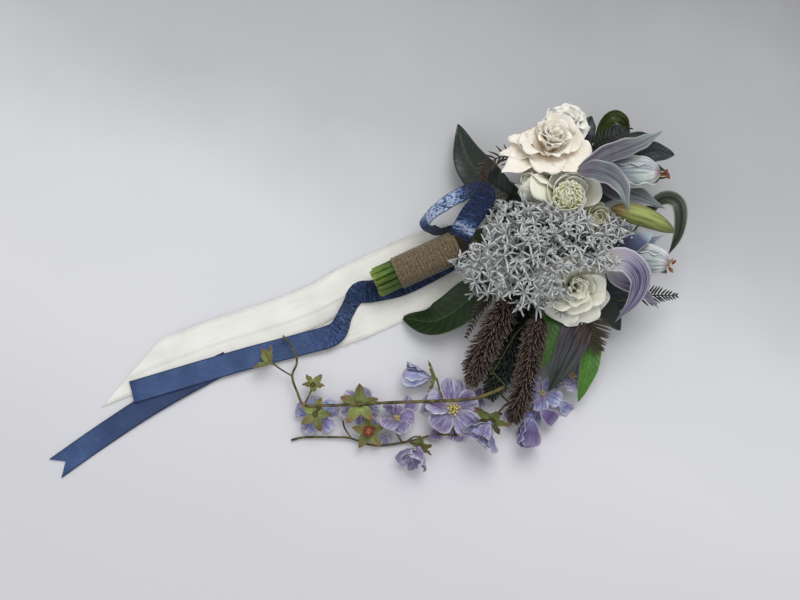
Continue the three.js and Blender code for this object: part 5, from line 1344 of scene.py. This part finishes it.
# Name, base, facing, turn, angles of foot and tip from the facing, length, half width, petals, cup radius,
# finish.
blossoms = [
    ("blossom_wide", [57, -124, 6], [0.05, 0.1, 1], 20, (62, 92), 30, 14.5, 5, 34.8, "blossom_blue_violet"),
    ("blossom_half_open", [36, -90, 17], [-1, 0.05, -0.05], 0, (32, 2), 31, 12, 4, 12, "blossom_light_blue"),
    ("blossom_far_left", [-92, -129, 16], [0.1, 0.1, -1], 10, (62, 88), 22, 9.5, 5, 22.8,
     "blossom_light_blue"),
    ("blossom_left", [-44, -119, 16], [-0.1, 0.1, -1], 40, (62, 88), 22, 9.5, 5, 22.8,
     "blossom_blue_violet"),
    ("blossom_middle", [-6, -136, 5], [0.3, 0.4, 0.9], 0, (50, 88), 21, 10, 5, 24, "blossom_blue_violet"),
    ("blossom_low", [22, -164, 12], [-0.45, -0.75, 0.5], 30, (46, 12), 27, 11, 5, 14, "blossom_blue_violet"),
    ("blossom_hanging", [98, -137, 31], [-0.55, -0.75, -0.05], 0, (30, 54), 30, 12, 4, 28.8,
     "blossom_light_blue"),
    ("blossom_dark", [141, -128, 22], [-0.12, -0.95, -0.08], 40, (30, 6), 35, 12, 4, 14, "blossom_purple"),
    ("blossom_blue", [155, -106, 4.5], [0.1, 0.1, 1], -20, (62, 92), 21, 10, 5, 24, "blossom_light_blue"),
    ("blossom_right", [190, -88, 4.4], [-0.1, 0.2, 1], 50, (58, 90), 19, 9, 5, 21.6, "blossom_blue_violet"),
]
blossomLook = {"waves": 3.2, "crease": 0.4, "lean": 0.9, "tip": 0.34, "rows": 18, "rise": 3.2}
# Further petals of fallen and hidden blossoms between the others: base, facing, turn, length, half width.
loosePetals = {
    "blossom_wide": [([44, -118, 7], [-0.75, 0.1, 0.6], 180, 24, 11),
                     ([66, -134, 5], [0.2, -0.7, 0.6], 260, 23, 10),
                     ([72, -116, 6], [0.6, 0.2, 0.7], 20, 22, 10)],
    "blossom_middle": [([6, -128, 5], [0.3, 0.6, 0.7], 60, 19, 9),
                       ([-12, -148, 5], [-0.3, -0.6, 0.7], 230, 18, 8)],
    "blossom_left": [([-34, -128, 12], [0.3, -0.4, 0.8], 290, 19, 9)],
    "blossom_blue": [([150, -116, 8], [-0.1, -0.6, 0.8], 250, 24, 10),
                     ([166, -98, 10], [0.5, 0.4, 0.7], 40, 22, 10),
                     ([172, -112, 8], [0.5, -0.4, 0.7], 320, 24, 9)],
    "blossom_low": [([30, -154, 8], [0.5, 0.3, 0.8], 20, 18, 9)],
    "blossom_dark": [([134, -122, 20], [-0.5, -0.4, 0.7], 200, 26, 10),
                     ([150, -124, 22], [0.6, -0.3, 0.7], 330, 25, 10)],
}


# Threads of one blossom with their heads, each 2.4 radians on from the last and further out. A thread whose
# tip would be under the floor is left out. big is 1 for a blossom of common size.
def pollenOf(stand, big):
    threads, heads = [], []
    base, across, other, axis = stand
    for i in range(int(11 * big)):
        out = around(across, other, 2.4 * i)
        spread = (1.2 + 2.6 * (i / 11)) * big
        foot = base + axis * 5 + out * 0.8
        tip = base + axis * (9.5 * big + rng.uniform(-1, 1)) + out * spread
        if tip[2] < 1:
            continue
        threads.append(tube([foot, (foot + tip) / 2 + out * 0.4, tip], 0.22 * big, rows=5, sides=5,
                            tone=0.5))
        heads.append(tube([tip - axis * 0.8, tip, tip + axis], rounded(0.75 * big, least=0.02), rows=6,
                          sides=7, tone=rng.random()))
    return threads, heads


# The blossoms: a ring of petals round a small cup. Those of four petals have a second, smaller and closer
# ring between them. All of it is kept above the floor.
def makeBlossoms():
    threads, heads = [], []
    for name, base, facing, turn, opening, length, halfWidth, count, cup, look in blossoms:
        stand = standing(base, facing, turn)
        grids = ring(stand, evenly(count), length, opening, halfWidth, cup, foot=1.5, roll=16, cols=16,
                     wave=1.0, rough=0.5, jitter=(6, 0.08), **blossomLook)
        if count == 4:
            closer = (opening[0] * 0.7, opening[1] * 0.7)
            grids += ring(stand, evenly(count, 45), length * 0.94, closer, halfWidth * 0.92, cup * 0.85,
                          foot=1.0, roll=12, cols=14, wave=0.8, rough=0.3, jitter=(2, 0.04), **blossomLook)
        throat = [stand[0] + stand[3] * high for high in (0.6, 3, 5.4)]
        grids.append(tube(throat, lambda v, a: 1.8 + 1.2 * np.sin(math.pi * v), rows=8, sides=14))
        for at, way, toward, long, wide in loosePetals.get(name, []):
            grids += ring(standing(at, way), [toward], long, (58, 92), wide, 2 * wide, rise=1, foot=1,
                          roll=14, lean=0.8, tip=0.36, rows=16, cols=14, wave=0.9, waves=3.0, rough=0.4,
                          crease=0.4)
        piece(name + "_petals", offFloor(grids), blossomFinishes[look], [name], thick=0.45)
        own = pollenOf(stand, 1.6 if name == "blossom_wide" else 1)
        threads += own[0]
        heads += own[1]
    piece("blossom_threads", threads, patchFinish("pale thread", "#c3c489", "#e6e5bb", 200, 0.6))
    piece("blossom_pollen", heads, patchFinish("yellow pollen", "#d2b02c", "#f3e272", 900, 0.8, relief=0.6))


# Red berry: a globe with five faint ridges, and a small crown of leaves on it.
berry = {"centre": [-34.2, -147.6, 18.4], "radius": 5.7, "ridge": 0.02}


def makeBerry():
    k = berry
    stand = standing(k["centre"], [0, 0, 1])
    size = k["radius"]
    middle, up = stand[0], stand[3] * size
    ball = rounded(size, least=0.003)
    ridged = lambda v, a: ball(v, a) * (1 + k["ridge"] * np.cos(5 * a))
    skin = tube([middle - up, middle, middle + up], ridged, rows=28, sides=36)
    finish = patchFinish("red berry", "#6e1a1c", "#b23a34", 150, 0.35, relief=0.2, spots=(0.35, 0.7))
    piece("berry_skin", [skin], finish, ["berry"])
    crown = ring(stand, evenly(5), 3.2, (40, 88), 0.9, 2.4, rise=size - 0.9, foot=0.4, lean=0.5, tip=0.9,
                 rows=6, cols=4, jitter=(5, 0.1))
    piece("berry_crown", crown, calyxLeaf, thick=0.3)


makeBlossoms()
makeBerry()
print("blossom vine made")

# Surface under the bouquet, light and camera. The surface's colour goes from floor's first to its last along
# a slope across the picture, painted light that falls off towards the top and the right, with soft patches.
# A lamp is its place from the bouquet's middle, power and size. distance is from the camera to the plan's
# zero point. These lengths are in metres.
room = {
    "floor": [(0.05, "#97989a"), (0.2, "#adaeb0"), (0.38, "#bbbcbe"), (0.56, "#d8d9dc"), (0.74, "#dedee2"),
              (0.95, "#d6d6da")],
    "floorSize": 9.0, "floorHeight": -0.0006, "slope": (-0.36, -1.1, 0.54), "patches": 0.16,
    "sky": "#f1f2f4", "skyLevel": 0.6,
    "lamps": {"key": ((0.35, 0.9, 1.9), 22, 1.3), "fill": ((-1.3, -0.9, 1.5), 6, 1.6)},
    "distance": 1.25, "fromVertical": 10.0, "focal": 50.2,
}


def inScene(name, data):  # new object that the scene shows
    made = bpy.data.objects.new(name, data)
    bpy.context.scene.collection.objects.link(made)
    return made


# Floor: one square just under zero, with the slope of painted light as the sum of x and y times their shares
# and the start.
def makeFloor():
    k = room
    mesh = bpy.data.meshes.new("surface")
    s, low = k["floorSize"], k["floorHeight"]
    mesh.from_pydata([(-s, -s, low), (s, -s, low), (s, s, low), (-s, s, low)], [], [(0, 1, 2, 3)])
    surface = inScene("surface", mesh)
    finish, tree, shader = startFinish("pale surface", 0.85, 0.0, 0.2)
    split = put(tree, "ShaderNodeSeparateXYZ", {0: objectPlace(tree)})
    right, back, start = k["slope"]
    # Painted light: the colour falls off along the slope, darker towards the top and the right of the
    # picture.
    slope = timesPlus(tree, split.outputs[0], right, timesPlus(tree, split.outputs[1], back, start))
    paintedFalloffAndPatches = timesPlus(tree, noise(tree, objectPlace(tree), 5, 3.0), k["patches"], slope)
    colourOn(tree, shader, ramp(tree, paintedFalloffAndPatches, k["floor"]))
    mesh.materials.append(finish)


# Sky and lamps. A lamp is turned so that its own -Z points at the middle: first tilted from straight down,
# then turned to the direction in which the aim runs over the floor.
def makeLight():
    k = room
    world = bpy.data.worlds.new("studio")
    world.use_nodes = True
    back = world.node_tree.nodes["Background"]
    back.inputs[0].default_value = paint(k["sky"])
    back.inputs[1].default_value = k["skyLevel"]
    bpy.context.scene.world = world
    middle = place([60, 0, 0])
    for name, (at, power, size) in k["lamps"].items():
        lamp = bpy.data.lights.new(name, "AREA")
        lamp.energy = power
        lamp.size = size
        light = inScene(name, lamp)
        light.location = [middle[0] + at[0], middle[1] + at[1], at[2]]
        aim = np.array([middle[0], middle[1], 0.03]) - np.array(light.location)
        light.rotation_euler = (math.atan2(math.hypot(aim[0], aim[1]), -aim[2]), 0,
                                math.atan2(-aim[0], aim[1]))


# The photograph's view: the camera looks at the plan's zero point, and stands back from straight above it by
# fromVertical, so that its place from there is the distance times 0, minus the sine and the cosine of that
# angle.
def makeCamera():
    k = room
    lens = bpy.data.cameras.new("camera")
    lens.lens = k["focal"]
    lens.sensor_width = 36
    camera = inScene("camera", lens)
    tilt = math.radians(k["fromVertical"])
    aimAt = place([0, 0, 0])
    camera.location = (aimAt[0], aimAt[1] - k["distance"] * math.sin(tilt), k["distance"] * math.cos(tilt))
    camera.rotation_euler = (tilt, 0, 0)
    bpy.context.scene.camera = camera
    bpy.context.scene.view_settings.view_transform = "Standard"


makeFloor()
makeLight()
makeCamera()
print("room made")
